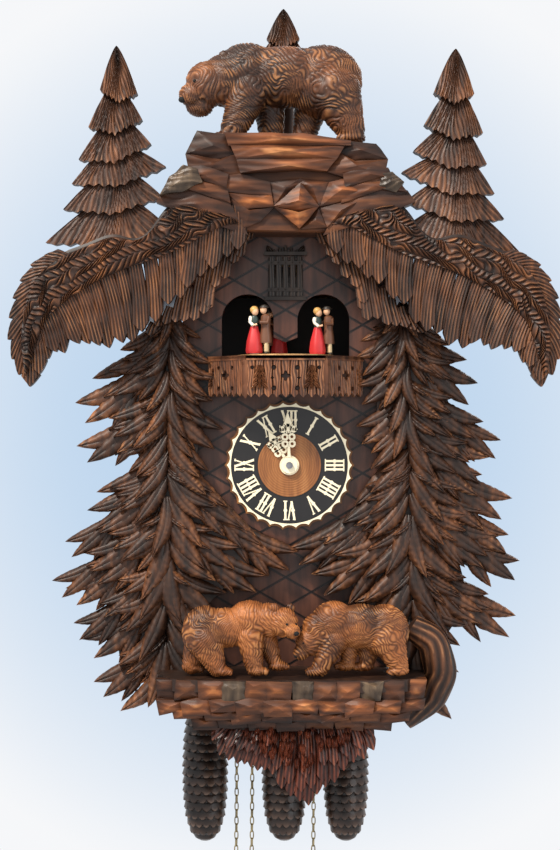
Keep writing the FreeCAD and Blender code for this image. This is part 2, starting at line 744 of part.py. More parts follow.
def gong():
    """Coiled steel rod gong in half-turn arcs, on its wooden stand."""
    wire = 1.6
    y = gong_y
    edges = []
    radius = 9.0
    step = 2.4
    start = Vec(gong_x + radius, y, gong_z)
    centre_x = gong_x
    side = 1
    for _ in range(7):
        middle = Vec(centre_x, y, gong_z + side * radius)
        end = Vec(centre_x - side * radius, y, gong_z)
        edges.append(Part.Arc(start, middle, end).toShape())
        start = end
        centre_x = centre_x + side * step
        radius = radius + step
        side = -side
    path = Part.Wire(edges)
    section = Part.Wire([Part.Circle(Vec(gong_x + 9.0, y, gong_z), Vec(0, 0, 1), wire).toShape()])
    return path.makePipeShell([section], True, False)


def gong_stand():
    return box(gong_x - 4, gong_x + 4, gong_y + 2, -back_thickness, gong_z - 45, gong_z + 6)


def gong_hammer():
    x = hammer_x
    return joined([rod(1.2, (x, gong_y, hammer_z), (x, gong_y, gong_z)),
                   rod(4, (x - 6, gong_y, gong_z), (x + 1.5, gong_y, gong_z)),
                   rod(2.5, (x, gong_y - 5, hammer_z), (x, gong_y + 5, hammer_z))])


def bellows_box(side):
    inner, outer = side * bellows_inner_x, side * (half_case - wall - 1)
    shell = box(inner, outer, bellows_back_y, bellows_front_y, bellows_low_z, bellows_high_z)
    core = box(inner + side * 2, outer - side * 2, bellows_back_y - 2, bellows_front_y + 2, bellows_low_z + 2,
               bellows_high_z - 4)
    whistle = rod(4, (side * (bellows_inner_x - 2), (bellows_back_y + bellows_front_y) / 2, bellows_low_z + 12),
                  (side * (bellows_inner_x + 8), (bellows_back_y + bellows_front_y) / 2, bellows_low_z + 12))
    return shell.cut(core).cut(whistle)


def bellows_top(side):
    inner, outer = side * bellows_inner_x, side * (half_case - wall - 1)
    low = bellows_high_z + joint_gap
    return box(inner, outer, bellows_back_y, bellows_front_y, low, low + 6)


def music_comb():
    """Steel comb on a brass bedplate, with the two posts that carry the pinned drum."""
    plate = box(-34, 34, panel_inner_y, panel_inner_y + 3, music_z - 22, music_z + 22)
    block = box(-24, 24, panel_inner_y + 3, panel_inner_y + 12, music_z - 20, music_z - 13)
    comb = box(-22, 22, panel_inner_y + 10, panel_inner_y + 12, music_z - 14, music_z + 2)
    posts = []
    for side in (-1, 1):
        post = box(side * 28, side * 31, panel_inner_y + 3, panel_inner_y + 28, music_z - 5, music_z + 5)
        posts.append(post)
    unit = joined([plate, block, comb] + posts)
    slits = [box(x - 0.3, x + 0.3, panel_inner_y + 9, panel_inner_y + 13, music_z - 10, music_z + 3)
             for x in range(-20, 21, 2)]
    unit = unit.cut(Part.makeCompound(slits))
    return unit.cut(rod(2 + running_gap, (-40, music_drum_y, music_z), (40, music_drum_y, music_z)))


def music_drum():
    parts = [rod(8, (-24, music_drum_y, music_z), (24, music_drum_y, music_z)),
             rod(2, (-33, music_drum_y, music_z), (33, music_drum_y, music_z)),
             rod(10, (-26, music_drum_y, music_z), (-24, music_drum_y, music_z))]
    return joined(parts)


def night_lever():
    """Wire lever through the left side that silences the clock at night."""
    outside = -half_case - 12
    inside = -half_case + wall + joint_gap
    return joined([rod(1.8, (outside, lever_y, lever_z), (inside + 1, lever_y, lever_z)),
                   lump((outside, lever_y, lever_z), (3.5, 3.5, 3.5)),
                   box(inside, inside + 1.6, lever_y - 7, lever_y + 7, lever_z - 9, lever_z + 9)])


# ---- Pieces ------------------------------------------------------------------------------------
shapes["case_side_left"] = side_board(-1)
shapes["case_side_right"] = side_board(1)
shapes["case_floor"] = case_floor()
shapes["front_panel"] = front_panel()
shapes["back_panel"] = back_panel()
shapes["back_door"] = back_door()
shapes["hanger_plate"] = hanger_plate()
shapes["roof_board_left"] = roof_board(-1)
shapes["roof_board_right"] = roof_board(1)
shapes["eave_bough_left"] = slab(eave_bough_left_outline, roof_front_y, carve_front_y)
shapes["eave_bough_right"] = slab(eave_bough_right_outline, roof_front_y, carve_front_y)
shapes["eave_fringe"] = eave_fringe()
shapes["summit_rock"] = summit_rock()
shapes["summit_bear"] = bear(-8, front_y - summit_bear_forward, 124, 180, 104, -1, 0.10)
shapes["roof_tree_left"] = slab(fir_outline((-173, 213), 14, 58, 6, lean=-2), roof_tree_back_y, roof_tree_front_y)
shapes["roof_tree_right"] = slab(fir_outline((176, 210), -6, 60, 6, lean=4), roof_tree_back_y, roof_tree_front_y)
shapes["side_tree_left"] = slab(side_tree_left_outline, tree_back_y, tree_front_y)
shapes["side_tree_right"] = slab(side_tree_right_outline, tree_back_y, tree_front_y)
shapes["ledge_rock"] = ledge_rock()
shapes["ledge_fringe"] = slab(ledge_fringe_outline, front_y - 80, front_y - 96).cut(shapes["ledge_rock"])
shapes["ledge_bear_left"] = bear(-54, front_y - ledge_bear_forward, ledge_top_z, 118, 76, 1, 0.12)
shapes["ledge_bear_right"] = bear(78, front_y - ledge_bear_forward, ledge_top_z, 116, 76, -1, 0.30)
shapes["balcony_floor"] = balcony_floor()
shapes["balcony_railing"] = balcony_railing()
shapes["turntable"] = turntable()
shapes["dancer_couples"] = dancer_couples()
shapes["cuckoo_door"] = cuckoo_door()
shapes["cuckoo_door_frame"] = cuckoo_door_frame()
shapes["cuckoo_bird"] = cuckoo_bird()
shapes["dial_base"] = dial_base()
shapes["dial_cream_ring"] = cream_ring()
shapes["dial_black_ring"] = black_ring()
shapes["dial_centre"] = dial_centre()
shapes["dial_numerals"] = dial_numerals()
shapes["hour_hand"] = hour_hand()
shapes["minute_hand"] = minute_hand()
shapes["centre_arbor"] = centre_arbor()
shapes["movement_frame"] = movement_frame()
shapes["pendulum_leader"] = pendulum_leader()
shapes["pendulum_bob"] = pendulum_bob()
shapes["gong"] = gong()
shapes["inner_supports"] = Part.makeCompound([cuckoo_rail(), gong_stand()])
shapes["gong_hammer"] = gong_hammer()
shapes["bellows_boxes"] = Part.makeCompound([bellows_box(-1), bellows_box(1)])
shapes["bellows_tops"] = Part.makeCompound([bellows_top(-1), bellows_top(1)])
shapes["music_comb"] = music_comb()
shapes["music_drum"] = music_drum()
shapes["night_lever"] = night_lever()
for chain in wheel_xs:
    shapes["chain_wheel_" + chain] = chain_wheel(chain)
    shapes["cone_weight_" + chain] = cone_weight(chain)
    shapes["free_chain_" + chain] = free_chain(chain)
    shapes["loaded_chain_" + chain] = chain_strand(loaded_x(chain), weight_top_z + hook_height)

os.makedirs("parts", exist_ok=True)
for node, shape in shapes.items():
    if not shape.isValid():
        raise ValueError(node + " is not a valid solid")
    shape.exportStep("parts/" + node + ".step")
    print(node, len(shape.Solids), round(shape.Volume))
print(len(shapes), "nodes")
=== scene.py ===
import math
import bpy
import bmesh
import numpy as np
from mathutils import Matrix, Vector


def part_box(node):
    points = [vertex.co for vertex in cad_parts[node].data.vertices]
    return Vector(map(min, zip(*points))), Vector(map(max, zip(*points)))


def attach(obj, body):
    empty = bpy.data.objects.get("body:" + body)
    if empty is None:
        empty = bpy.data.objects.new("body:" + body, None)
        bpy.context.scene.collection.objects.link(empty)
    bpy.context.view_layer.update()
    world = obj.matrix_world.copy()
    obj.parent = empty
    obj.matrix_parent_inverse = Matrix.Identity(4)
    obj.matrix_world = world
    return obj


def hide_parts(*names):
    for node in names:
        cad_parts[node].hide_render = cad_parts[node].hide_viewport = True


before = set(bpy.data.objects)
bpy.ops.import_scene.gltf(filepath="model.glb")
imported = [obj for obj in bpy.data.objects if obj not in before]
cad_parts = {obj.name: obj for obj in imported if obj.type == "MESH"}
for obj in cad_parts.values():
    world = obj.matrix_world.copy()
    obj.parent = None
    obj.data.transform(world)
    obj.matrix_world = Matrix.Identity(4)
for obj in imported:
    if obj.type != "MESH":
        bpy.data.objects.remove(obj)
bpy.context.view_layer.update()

MM = 0.001
CURVE_STEPS = 420          # places along each line of an eave bough
PATH_STEPS = 60            # places along the log and the slat fringe's edge
BOUGH_DROOP = 0.62         # how steeply a fir's boughs fall away from the trunk
DIAL_KEEP_OFF = 0.076      # no tree leaf comes nearer to the dial's centre
LATHE_RINGS = 2600.0       # ring waves for each metre of radius, in radians
BEAR_VOXELS = 108          # voxels in a bear's height
BACKDROP_GAP = 0.0565      # from the front panel's face to the dark board, painted shade, behind the dancers
COUPLE_CIRCLE = 0.040      # radius on which the couples stand
FIRST_COUPLE_DEG, COUPLE_STEP_DEG = -42, 120
HOUR_HAND_THICKNESS = 0.0014
NUMERAL_RADIUS = 0.0472


def low(node):
    return np.array(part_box(node)[0])


def high(node):
    return np.array(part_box(node)[1])


def corners(node):
    return low(node), high(node)


FACADE_Y = low("front_panel")[1]
ROOF_FRONT_Y = low("roof_board_left")[1]
TREE_BACK_Y = high("side_tree_left")[1]
LEDGE_TOP = high("ledge_rock")[2]
DIAL = (low("dial_base") + high("dial_base")) / 2


# ---- Materials ------------------------------------------------------------------------------
class Nodes:
    """One material's shader nodes."""

    def __init__(self, name):
        self.material = bpy.data.materials.new(name)
        self.material.use_nodes = True
        self.tree = self.material.node_tree
        self.shader = self.tree.nodes["Principled BSDF"]

    def add(self, kind, values=None, **settings):
        node = self.tree.nodes.new(kind)
        for key, value in settings.items():
            setattr(node, key, value)
        for key, value in (values or {}).items():
            if isinstance(value, bpy.types.NodeSocket):
                self.tree.links.new(value, node.inputs[key])
            else:
                node.inputs[key].default_value = value
        return node

    def ramp(self, factor, stops):
        node = self.add("ShaderNodeValToRGB", {0: factor})
        elements = node.color_ramp.elements
        while len(elements) < len(stops):
            elements.new(0.5)
        for element, (place, colour) in zip(elements, stops):
            element.position = place
            element.color = (*colour, 1.0)
        return node.outputs[0]

    def mix(self, factor, first, second, blend="MIX"):
        node = self.add("ShaderNodeMixRGB", {0: factor, 1: first, 2: second}, blend_type=blend)
        return node.outputs[0]

    def noise(self, scale, detail=4.0, stretch=(1, 1, 1)):
        place = self.add("ShaderNodeTexCoord").outputs["Object"]
        mapped = self.add("ShaderNodeMapping", {"Vector": place, "Scale": stretch}).outputs[0]
        return self.add("ShaderNodeTexNoise", {"Vector": mapped, "Scale": scale, "Detail": detail}).outputs[0]

    def math(self, operation, *values):
        return self.add("ShaderNodeMath", dict(enumerate(values)), operation=operation).outputs[0]

    def vector_math(self, operation, *values, output=0):
        return self.add("ShaderNodeVectorMath", dict(enumerate(values)), operation=operation).outputs[output]

    def link(self, value, socket):
        self.tree.links.new(value, self.shader.inputs[socket])

    def bump(self, height, strength, distance):
        node = self.add("ShaderNodeBump", {"Height": height, "Strength": strength, "Distance": distance})
        self.link(node.outputs[0], "Normal")


def rgb(r, g, b):
    """Linear colour from display values of 0 to 255."""
    return tuple(((c / 255) / 12.92 if c <= 10 else ((c / 255 + 0.055) / 1.055) ** 2.4) for c in (r, g, b))


def wood(name, dark, mid, light, grain=(1, 1, 0.12), rough=0.42, relief=0.0, pale=None, scale=130.0,
         patches=0.55):
    """Stained wood: streaked grain, painted shade in the hollows and a painted highlight on the ridges where
    relief is stored.
    """
    n = Nodes(name)
    streaks = n.noise(scale, 6.0, grain)
    blotch = n.noise(14.0, 3.0)
    colour = n.ramp(streaks, [(0.30, dark), (0.52, mid), (0.75, light)])
    shade = n.ramp(blotch, [(0.36, (patches, patches * 0.95, patches * 0.92)), (0.62, (1.25, 1.20, 1.14))])
    colour = n.mix(1.0, colour, shade, "MULTIPLY")
    if relief:
        # Low stored relief is darkened as painted shade in the hollows; high stored relief is brightened as a
        # painted highlight.
        stored = n.add("ShaderNodeAttribute", attribute_name="relief").outputs["Fac"]
        hollow = n.ramp(stored, [(0.0, (0.07, 0.06, 0.055)), (0.45, (0.55, 0.53, 0.51)),
                                 (1.0, (1.7, 1.66, 1.6))])
        colour = n.mix(relief, colour, hollow, "MULTIPLY")
        # The highest crests, broken up by random patches, are mixed towards the pale colour: a painted highlight.
        crest_highlight = n.ramp(stored, [(0.72, (0, 0, 0)), (1.0, (1, 1, 1))])
        patch = n.ramp(n.noise(45.0, 3.0), [(0.42, (0, 0, 0)), (0.62, (0.75, 0.75, 0.75))])
        highlight_mask = n.mix(1.0, crest_highlight, patch, "MULTIPLY")
        colour = n.mix(highlight_mask, colour, (*(pale or light), 1.0))
    n.link(colour, "Base Color")
    n.shader.inputs["Roughness"].default_value = rough
    n.shader.inputs["Specular IOR Level"].default_value = 0.34
    n.shader.inputs["Coat Weight"].default_value = 0.04
    n.shader.inputs["Coat Roughness"].default_value = 0.3
    n.bump(streaks, 0.35, 0.0006)
    return n.material


def turned_wood(name, dark, mid, light):
    """Upright grain with the fine rings that a lathe leaves round the dial's centre."""
    n = Nodes(name)
    colour = n.ramp(n.noise(160.0, 6.0, (1, 1, 0.10)), [(0.3, dark), (0.52, mid), (0.75, light)])
    place = n.add("ShaderNodeTexCoord").outputs["Object"]
    centred = n.vector_math("SUBTRACT", place, (DIAL[0], 0, DIAL[2]))
    radius = n.vector_math("LENGTH", n.vector_math("MULTIPLY", centred, (1, 0, 1)), output="Value")
    wave = n.math("SINE", n.math("MULTIPLY", radius, LATHE_RINGS))
    rings = n.ramp(wave, [(0.0, (0.78, 0.74, 0.70)), (0.6, (1, 1, 1))])
    n.link(n.mix(0.8, colour, rings, "MULTIPLY"), "Base Color")
    n.shader.inputs["Roughness"].default_value = 0.42
    n.bump(wave, 0.25, 0.0004)
    return n.material


def grooved_panel(name, ground, dark, half_share):
    """Case wood with the lozenge grooves, where the CAD cuts them, drawn as dark lines of painted shade."""
    n = Nodes(name)
    streaks = n.noise(130.0, 6.0, (1, 1, 0.12))
    colour = n.ramp(streaks, list(zip((0.3, 0.52, 0.75), ground)))
    blotch = n.ramp(n.noise(14.0, 3.0), [(0.36, (0.62, 0.58, 0.56)), (0.62, (1.2, 1.16, 1.1))])
    colour = n.mix(1.0, colour, blotch, "MULTIPLY")
    place = n.add("ShaderNodeTexCoord").outputs["Object"]
    for way in (-1, 1):
        slope = (way * math.sin(LATTICE_TURN) / LATTICE_PITCH, 0, math.cos(LATTICE_TURN) / LATTICE_PITCH)
        along = n.vector_math("DOT_PRODUCT", place, slope, output="Value")
        shifted = n.math("ADD", along, 50 - LATTICE_Z * math.cos(LATTICE_TURN) / LATTICE_PITCH)
        gap = n.math("ABSOLUTE", n.math("SUBTRACT", n.math("FRACT", shifted), 0.5))
        # Each groove line is darkened as painted shade.
        line = n.ramp(gap, [(half_share, dark), (half_share * 1.7, (1, 1, 1))])
        colour = n.mix(1.0, colour, line, "MULTIPLY")
    n.link(colour, "Base Color")
    n.shader.inputs["Roughness"].default_value = 0.4
    n.bump(streaks, 0.3, 0.0005)
    return n.material


def metal(name, colour, rough, spots=0.25):
    n = Nodes(name)
    tarnish = n.noise(90.0, 5.0)
    dull = tuple(c * (1 - spots) * 0.7 for c in colour)
    n.link(n.ramp(tarnish, [(0.35, dull), (0.65, colour)]), "Base Color")
    n.shader.inputs["Metallic"].default_value = 1.0
    n.link(n.ramp(tarnish, [(0.3, (rough + 0.15,) * 3), (0.7, (rough,) * 3)]), "Roughness")
    n.bump(tarnish, 0.15, 0.0003)
    return n.material


def paint(name, colour, rough=0.45, vary=0.12):
    n = Nodes(name)
    cloud = n.noise(120.0, 4.0)
    darker = tuple(c * (1 - vary) for c in colour)
    n.link(n.ramp(cloud, [(0.3, darker), (0.7, colour)]), "Base Color")
    n.shader.inputs["Roughness"].default_value = rough
    n.bump(cloud, 0.1, 0.0002)
    return n.material


# pale is the colour of the painted highlight on each carved wood's crests.
CARVED = wood("carved_wood", rgb(40, 25, 17), rgb(78, 48, 30), rgb(118, 77, 49), relief=1.0,
              pale=rgb(176, 124, 82),
              rough=0.52)
FRINGE = wood("fringe_wood", rgb(44, 18, 12), rgb(74, 34, 22), rgb(100, 52, 36), relief=1.0,
              pale=rgb(150, 96, 68),
              rough=0.36)
BEAR = wood("bear_wood", rgb(70, 38, 18), rgb(122, 72, 36), rgb(154, 96, 52), relief=0.55,
            pale=rgb(184, 126, 74),
            grain=(1, 1, 1), scale=38.0, patches=0.34, rough=0.5)
DARK_BEAR = wood("dark_bear_wood", rgb(44, 25, 15), rgb(80, 47, 27), rgb(118, 72, 40), relief=0.6,
                 pale=rgb(164, 112, 68), grain=(1, 1, 1), scale=34.0, patches=0.36, rough=0.5)
ROCK = wood("rock_wood", rgb(52, 28, 15), rgb(112, 64, 33), rgb(166, 102, 54), grain=(0.10, 1, 1), relief=1.0,
            pale=rgb(186, 126, 76), rough=0.55)
PALE_ROCK = wood("pale_rock_wood", rgb(58, 46, 36), rgb(94, 78, 62), rgb(134, 114, 92), relief=0.7,
                 pale=rgb(158, 144, 122), rough=0.4)
# The ledge floor's dark colour is painted shade of the recess between the trees.
DARK_FLOOR = wood("ledge_floor_wood", rgb(30, 19, 14), rgb(46, 29, 20), rgb(62, 40, 28), rough=0.45)
PANEL = wood("panel_wood", rgb(50, 28, 20), rgb(78, 46, 34), rgb(100, 62, 46), rough=0.38)
# The lozenge grooves of part.py: their pitch, their slope and the height where two of them cross.
LATTICE_PITCH, LATTICE_TURN, LATTICE_Z = 0.0270, math.radians(30), -0.097
FACE = grooved_panel("grooved_panel_wood", (rgb(50, 28, 20), rgb(80, 47, 34), rgb(102, 63, 46)),
                     (0.16, 0.14, 0.13),
                     0.036)
BALCONY = wood("balcony_wood", rgb(54, 32, 21), rgb(98, 60, 38), rgb(136, 90, 60), relief=0.8,
               pale=rgb(166, 118, 82))
SLATS = wood("door_wood", rgb(30, 23, 19), rgb(48, 37, 30), rgb(66, 52, 42), relief=0.8, pale=rgb(84, 68, 56))
DIAL_WOOD = turned_wood("dial_wood", rgb(118, 68, 30), rgb(152, 96, 48), rgb(172, 116, 66))
DIAL_RIM = wood("dial_rim_wood", rgb(86, 52, 24), rgb(124, 80, 38), rgb(150, 102, 54), grain=(0.15, 1, 1),
                rough=0.35)
RAW = wood("raw_pine", rgb(150, 112, 72), rgb(186, 146, 98), rgb(206, 168, 120), rough=0.6)
CREAM = paint("ivory", rgb(250, 236, 202), 0.35, 0.08)
BLACK = paint("dial_black", rgb(28, 25, 25), 0.32, 0.3)
BRASS = metal("movement_brass", rgb(196, 160, 92), 0.28)
CHAIN = metal("chain_brass", rgb(186, 168, 128), 0.32, 0.4)
STEEL = metal("bare_steel", rgb(168, 168, 172), 0.3)
# Black paint of the bears' eyes and noses, also used as painted shade on the board behind the windows.
BLACK_PAINT_AND_SHADE = paint("black_paint_and_shade", rgb(14, 12, 12), 0.9, 0.3)


# ---- Mesh helpers -----------------------------------------------------------------------------
def rim_of(index):
    """Numbers round the edge of a grid, in order."""
    return np.concatenate([index[0], index[1:, -1], index[-1, -2::-1], index[-2:0:-1, 0]])


class Mesh:
    """Gathers vertices, faces and a stored relief value, which the carved woods turn into painted shade and
    painted highlight, into one object.
    """

    def __init__(self):
        self.points, self.faces, self.relief, self.count = [], [], [], 0

    def grid(self, points, relief, back):
        """Closed relief: a carved top grid, its rim dropped to a flat back."""
        rows, columns = relief.shape
        start = self.count
        index = np.arange(rows * columns).reshape(rows, columns) + start
        rim = rim_of(index)
        flat = points.reshape(-1, 3)
        rim_points = flat[rim - start].copy()
        rim_points[:, 1] = back
        self.points += [flat, rim_points]
        # Rim walls and the flat back get a low stored relief of 0.30, so they come out dark: painted shade on the
        # sides and back.
        self.relief += [relief.ravel(), np.full(len(rim), 0.30)]
        quads = np.stack([index[:-1, :-1], index[:-1, 1:], index[1:, 1:], index[1:, :-1]], -1).reshape(-1, 4)
        self.faces += quads.tolist()
        lower = np.arange(len(rim)) + start + rows * columns
        following = np.roll(np.arange(len(rim)), -1)
        self.faces += np.stack([rim, lower, lower[following], rim[following]], -1).tolist()
        self.faces.append(lower[::-1].tolist())
        self.count += rows * columns + len(rim)

    def solid(self, points, faces, relief=0.6):
        self.faces += [[i + self.count for i in face] for face in faces]
        self.points.append(np.asarray(points, float))
        self.relief.append(np.full(len(points), relief) if np.isscalar(relief) else np.asarray(relief))
        self.count += len(points)

    def loft(self, points, sides, relief=0.6, capped=True, looped=False):
        """Skin over rings of points, closed by caps or by joining the last ring to the first."""
        points = np.asarray(points, float).reshape(-1, 3)
        index = np.arange(len(points)).reshape(-1, sides)
        caps = [index[0, ::-1].tolist(), index[-1].tolist()] if capped else []
        if looped:
            index = np.vstack([index, index[:1]])
        beside = np.roll(index, -1, axis=1)
        quads = np.stack([index[:-1], beside[:-1], beside[1:], index[1:]], -1).reshape(-1, 4)
        self.solid(points, quads.tolist() + caps, relief)

    def box(self, a, b, relief=0.6):
        (x0, y0, z0), (x1, y1, z1) = a, b
        points = [(x, y, z) for x in (x0, x1) for y in (y0, y1) for z in (z0, z1)]
        self.solid(points, [(0, 1, 3, 2), (4, 6, 7, 5), (0, 4, 5, 1), (2, 3, 7, 6), (0, 2, 6, 4),
                            (1, 5, 7, 3)],
                   relief)

    def make(self, name, material, body, replaced=(), smooth=True, angle=40.0):
        mesh = bpy.data.meshes.new(name)
        points = np.concatenate(self.points)
        mesh.from_pydata(points.tolist(), [], self.faces)
        stored = mesh.attributes.new("relief", "FLOAT", "POINT")
        stored.data.foreach_set("value", np.clip(np.concatenate(self.relief), 0, 1).astype(np.float32))
        work = bmesh.new()
        work.from_mesh(mesh)
        bmesh.ops.recalc_face_normals(work, faces=work.faces)
        work.to_mesh(mesh)
        work.free()
        return finished(mesh, name, material, body, replaced, smooth, angle)


def finished(mesh, name, material, body, replaced=(), smooth=True, angle=40.0):
    piece = bpy.data.objects.new(name, mesh)
    bpy.context.scene.collection.objects.link(piece)
    mesh.materials.clear()
    mesh.materials.append(material)
    if smooth:
        shade_smooth(mesh, angle)
    else:
        mesh.polygons.foreach_set("use_smooth", [False] * len(mesh.polygons))
    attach(piece, body)
    if replaced:
        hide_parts(*replaced)
    return piece


def shade_smooth(mesh, angle):
    mesh.polygons.foreach_set("use_smooth", [True] * len(mesh.polygons))
    mesh.set_sharp_from_angle(angle=math.radians(angle))


def stored_values(items, name, width=3):
    """One value or vector of every item, as an array."""
    found = np.empty(len(items) * width, np.float32)
    items.foreach_get(name, found)
    return found.reshape(-1, width).astype(float)


def ridge(phase):
    """Sharp-topped wave between 0 in a cut and 1 on the crest."""
    return 1.0 - np.abs(2.0 * (phase - np.floor(phase)) - 1.0)


def lattice_noise(points, seed=0):
    """Smooth value noise on a unit lattice, one value between 0 and 1 for each point."""
    cell = np.floor(points).astype(np.int64)
    part = points - cell
    part = part * part * (3 - 2 * part)
    total = np.zeros(len(points))
    for corner in range(8):
        bit = np.array([corner & 1, (corner >> 1) & 1, (corner >> 2) & 1])
        place = cell + bit
        mixed = (place[:, 0] * 374761393 + place[:, 1] * 668265263 + place[:, 2] * 2147483647 + seed * 974711)
        mixed = (mixed ^ (mixed >> 13)) * 1274126177
        value = ((mixed ^ (mixed >> 16)) & 0xFFFF) / 65535.0
        weight = np.prod(np.where(bit, part, 1 - part), axis=1)
        total += value * weight
    return total


def leaf(mesh, base, tip, half_width, y_back, root, proud, strokes=10, bend=0.0, notch=0.10, rows=24,
         columns=11,
         cut=0.0012, tone=1.0):
    """One carved leaf: a pointed blade, hollow along its middle, with short chisel nicks across each half."""
    base, tip = np.array(base, float), np.array(tip, float)
    along = tip - base
    length = np.hypot(*along)
    along = along / length
    across = np.array([-along[1], along[0]])
    u = np.linspace(0, 1, rows)[:, None]
    v = np.linspace(-1, 1, columns)[None, :]
    width = half_width * np.interp(u, [0, 0.15, 0.40, 0.65, 0.85, 0.95, 1],
                                   [0.45, 0.76, 1.0, 0.88, 0.50, 0.20, 0.0])
    phase = u * strokes - 0.55 * np.abs(v) + (v > 0) * 0.4
    nick = ridge(phase) ** 0.6
    width = width * (1 - notch * (1 - nick) * np.abs(v) ** 2)
    forward = u * length
    side = v * width + bend * length * np.sin(np.pi * u ** 0.9)
    place = base + forward[..., None] * along + side[..., None] * across
    rib = np.exp(-(v / 0.20) ** 2)
    crown = 1 - np.abs(v) ** 2.4
    depth = root + (proud - root) * u ** 0.8
    depth = depth * (0.80 + 0.20 * crown) + 0.0022 * crown * np.sin(np.pi * np.clip(u * 1.1, 0, 1)) ** 0.5
    depth = depth + cut * (nick - 0.5) * (1 - rib) - rib * 0.0012
    points = np.stack([place[..., 0], y_back - depth, place[..., 1]], -1)
    # Stored relief as painted shade: darker at the root under the leaf above, in the nicks and along the hollow
    # middle, lighter towards the tip; tone varies it at random.
    relief = tone * (0.24 + 0.76 * u ** 0.7) * (0.55 + 0.45 * nick) * (1 - 0.55 * rib)
    mesh.grid(points, relief, y_back)


def feather(mesh, base, tip, half_width, y_back, root, proud, strokes=5, rows=26, bend=0.0, blunt=0.45,
            cut=0.0014):
    """Carved strip with parallel grooves along it and a pointed end."""
    base, tip = np.array(base, float), np.array(tip, float)
    along = tip - base
    length = np.hypot(*along)
    along = along / length
    across = np.array([-along[1], along[0]])
    columns = strokes * 6 + 1
    u = np.linspace(0, 1, rows)[:, None]
    v = np.linspace(-1, 1, columns)[None, :]
    width = half_width * (0.80 + 0.20 * u)
    reach = length * (1 - blunt * half_width / length * 1.6 * np.abs(v) ** 1.3 * u ** 2)
    forward = u * reach
    side = v * width + bend * length * np.sin(np.pi * u)
    place = base + forward[..., None] * along + side[..., None] * across
    groove = ridge((v + 1) / 2 * strokes + 0.12 * np.sin(u * 5 + half_width * 9000)) ** 0.8
    crown = 1 - np.abs(v) ** 2.4
    depth = (root + (proud - root) * u) * (0.82 + 0.18 * crown) + cut * (groove - 0.5)
    points = np.stack([place[..., 0], y_back - depth, place[..., 1]], -1)
    # Stored relief darkens the grooves and the edges as painted shade.
    relief = (0.08 + 0.88 * groove) * (0.72 + 0.28 * crown) + 0 * u
    mesh.grid(points, relief, y_back)


# ---- Carved firs ---------------------------------------------------------------------------------
def fir(name, spine, tips_left, tips_right, y_back, deep, leaf_long, replaced, seed, keep_off):
    """Carved fir: boughs of slim curved leaves that sweep outward, over a solid heart painted dark as the shade
    between them.
    """
    rand = np.random.default_rng(seed)
    mesh = Mesh()
    top, foot = np.array(spine[0], float), np.array(spine[1], float)

    def trunk(z):
        return top[0] + (foot[0] - top[0]) * (z - top[1]) / (foot[1] - top[1])

    def heart(tips):
        return [(trunk(z) + 0.66 * (x - trunk(z)), z + 0.10 * leaf_long) for x, z in tips]

    def blade(start, end, wide, depth_share, sweep, tone):
        start, end = np.array(start, float), np.array(end, float)
        centre, reach = keep_off
        if min(np.hypot(*(end - centre)), np.hypot(*((start + end) / 2 - centre))) < reach:
            return
        length = np.hypot(*(end - start))
        proud = deep * depth_share
        leaf(mesh, start, end, wide * length, y_back, proud * 0.55, proud,
             strokes=max(5, int(length / 0.0046)),
             bend=sweep, tone=tone)

    outline = heart(tips_left) + [(trunk(foot[1]), foot[1])] + heart(tips_right)[::-1]
    outline.append((top[0], top[1] - 0.2 * leaf_long))
    # The heart has a low stored relief, so it shows dark between the leaves as painted shade.
    prism(mesh, outline, y_back - deep * 0.40, y_back, 0.12)
    order = sorted([tuple(tip) for tip in tips_left] + [tuple(tip) for tip in tips_right],
                   key=lambda tip: tip[1])
    for tip in order:
        tip = np.array(tip, float)
        x_trunk = trunk(tip[1])
        reach = tip[0] - x_trunk
        sign = 1 if reach > 0 else -1
        span = abs(reach)
        root = np.array([x_trunk, min(top[1], tip[1] + BOUGH_DROOP * span + 0.35 * leaf_long)])
        ranks = max(1, int(round(span / (leaf_long * 0.36))))
        for rank in range(ranks, 0, -1):
            share = rank / ranks
            end = root + (tip - root) * np.array([share, share ** 1.2])
            if rank < ranks:
                end = end + rand.uniform(-0.003, 0.003, 2)
            start_share = max(0.0, share - leaf_long * rand.uniform(0.80, 1.05) / max(span, 1e-6) * 0.80)
            start = root + (tip - root) * np.array([start_share, start_share ** 1.2])
            ahead = end - start
            lift = 0.60 + 0.38 * (1 - share)
            for turn, size in ((0.34, 0.86), (-0.36, 0.80), (0.0, 1.0)):
                if turn and rank == 1 and ranks > 1:
                    continue
                angle = turn * sign * rand.uniform(0.8, 1.2)
                c, d = math.cos(angle), math.sin(angle)
                way = np.array([ahead[0] * c - ahead[1] * d, ahead[0] * d + ahead[1] * c])
                begin = start + (0.10 * ahead if turn else 0)
                blade(begin, begin + way * size * (rand.uniform(0.9, 1.05) if turn else 1.0),
                      rand.uniform(0.125, 0.16),
                      (lift if turn else lift + 0.09) * rand.uniform(0.95, 1.05),
                      -sign * rand.uniform(0.05, 0.13),
                      rand.uniform(0.60, 1.05))
    steps = int((top[1] - foot[1]) / (leaf_long * 0.30))
    for step in range(steps, -1, -1):
        z = top[1] - (top[1] - foot[1]) * step / max(1, steps)
        long = leaf_long * (0.50 + 0.40 * min(1, 1.6 * step / max(1, steps)))
        for sign in (-1, 1):
            angle = rand.uniform(0.25, 0.95)
            end = (trunk(z) + sign * long * math.sin(angle), z - long * math.cos(angle))
            blade((trunk(z) + sign * 0.002, z + 0.006), end, rand.uniform(0.14, 0.17),
                  rand.uniform(0.98, 1.10),
                  -sign * rand.uniform(0.04, 0.12), rand.uniform(0.75, 1.1))
    mesh.make(name, CARVED, "case", replaced)


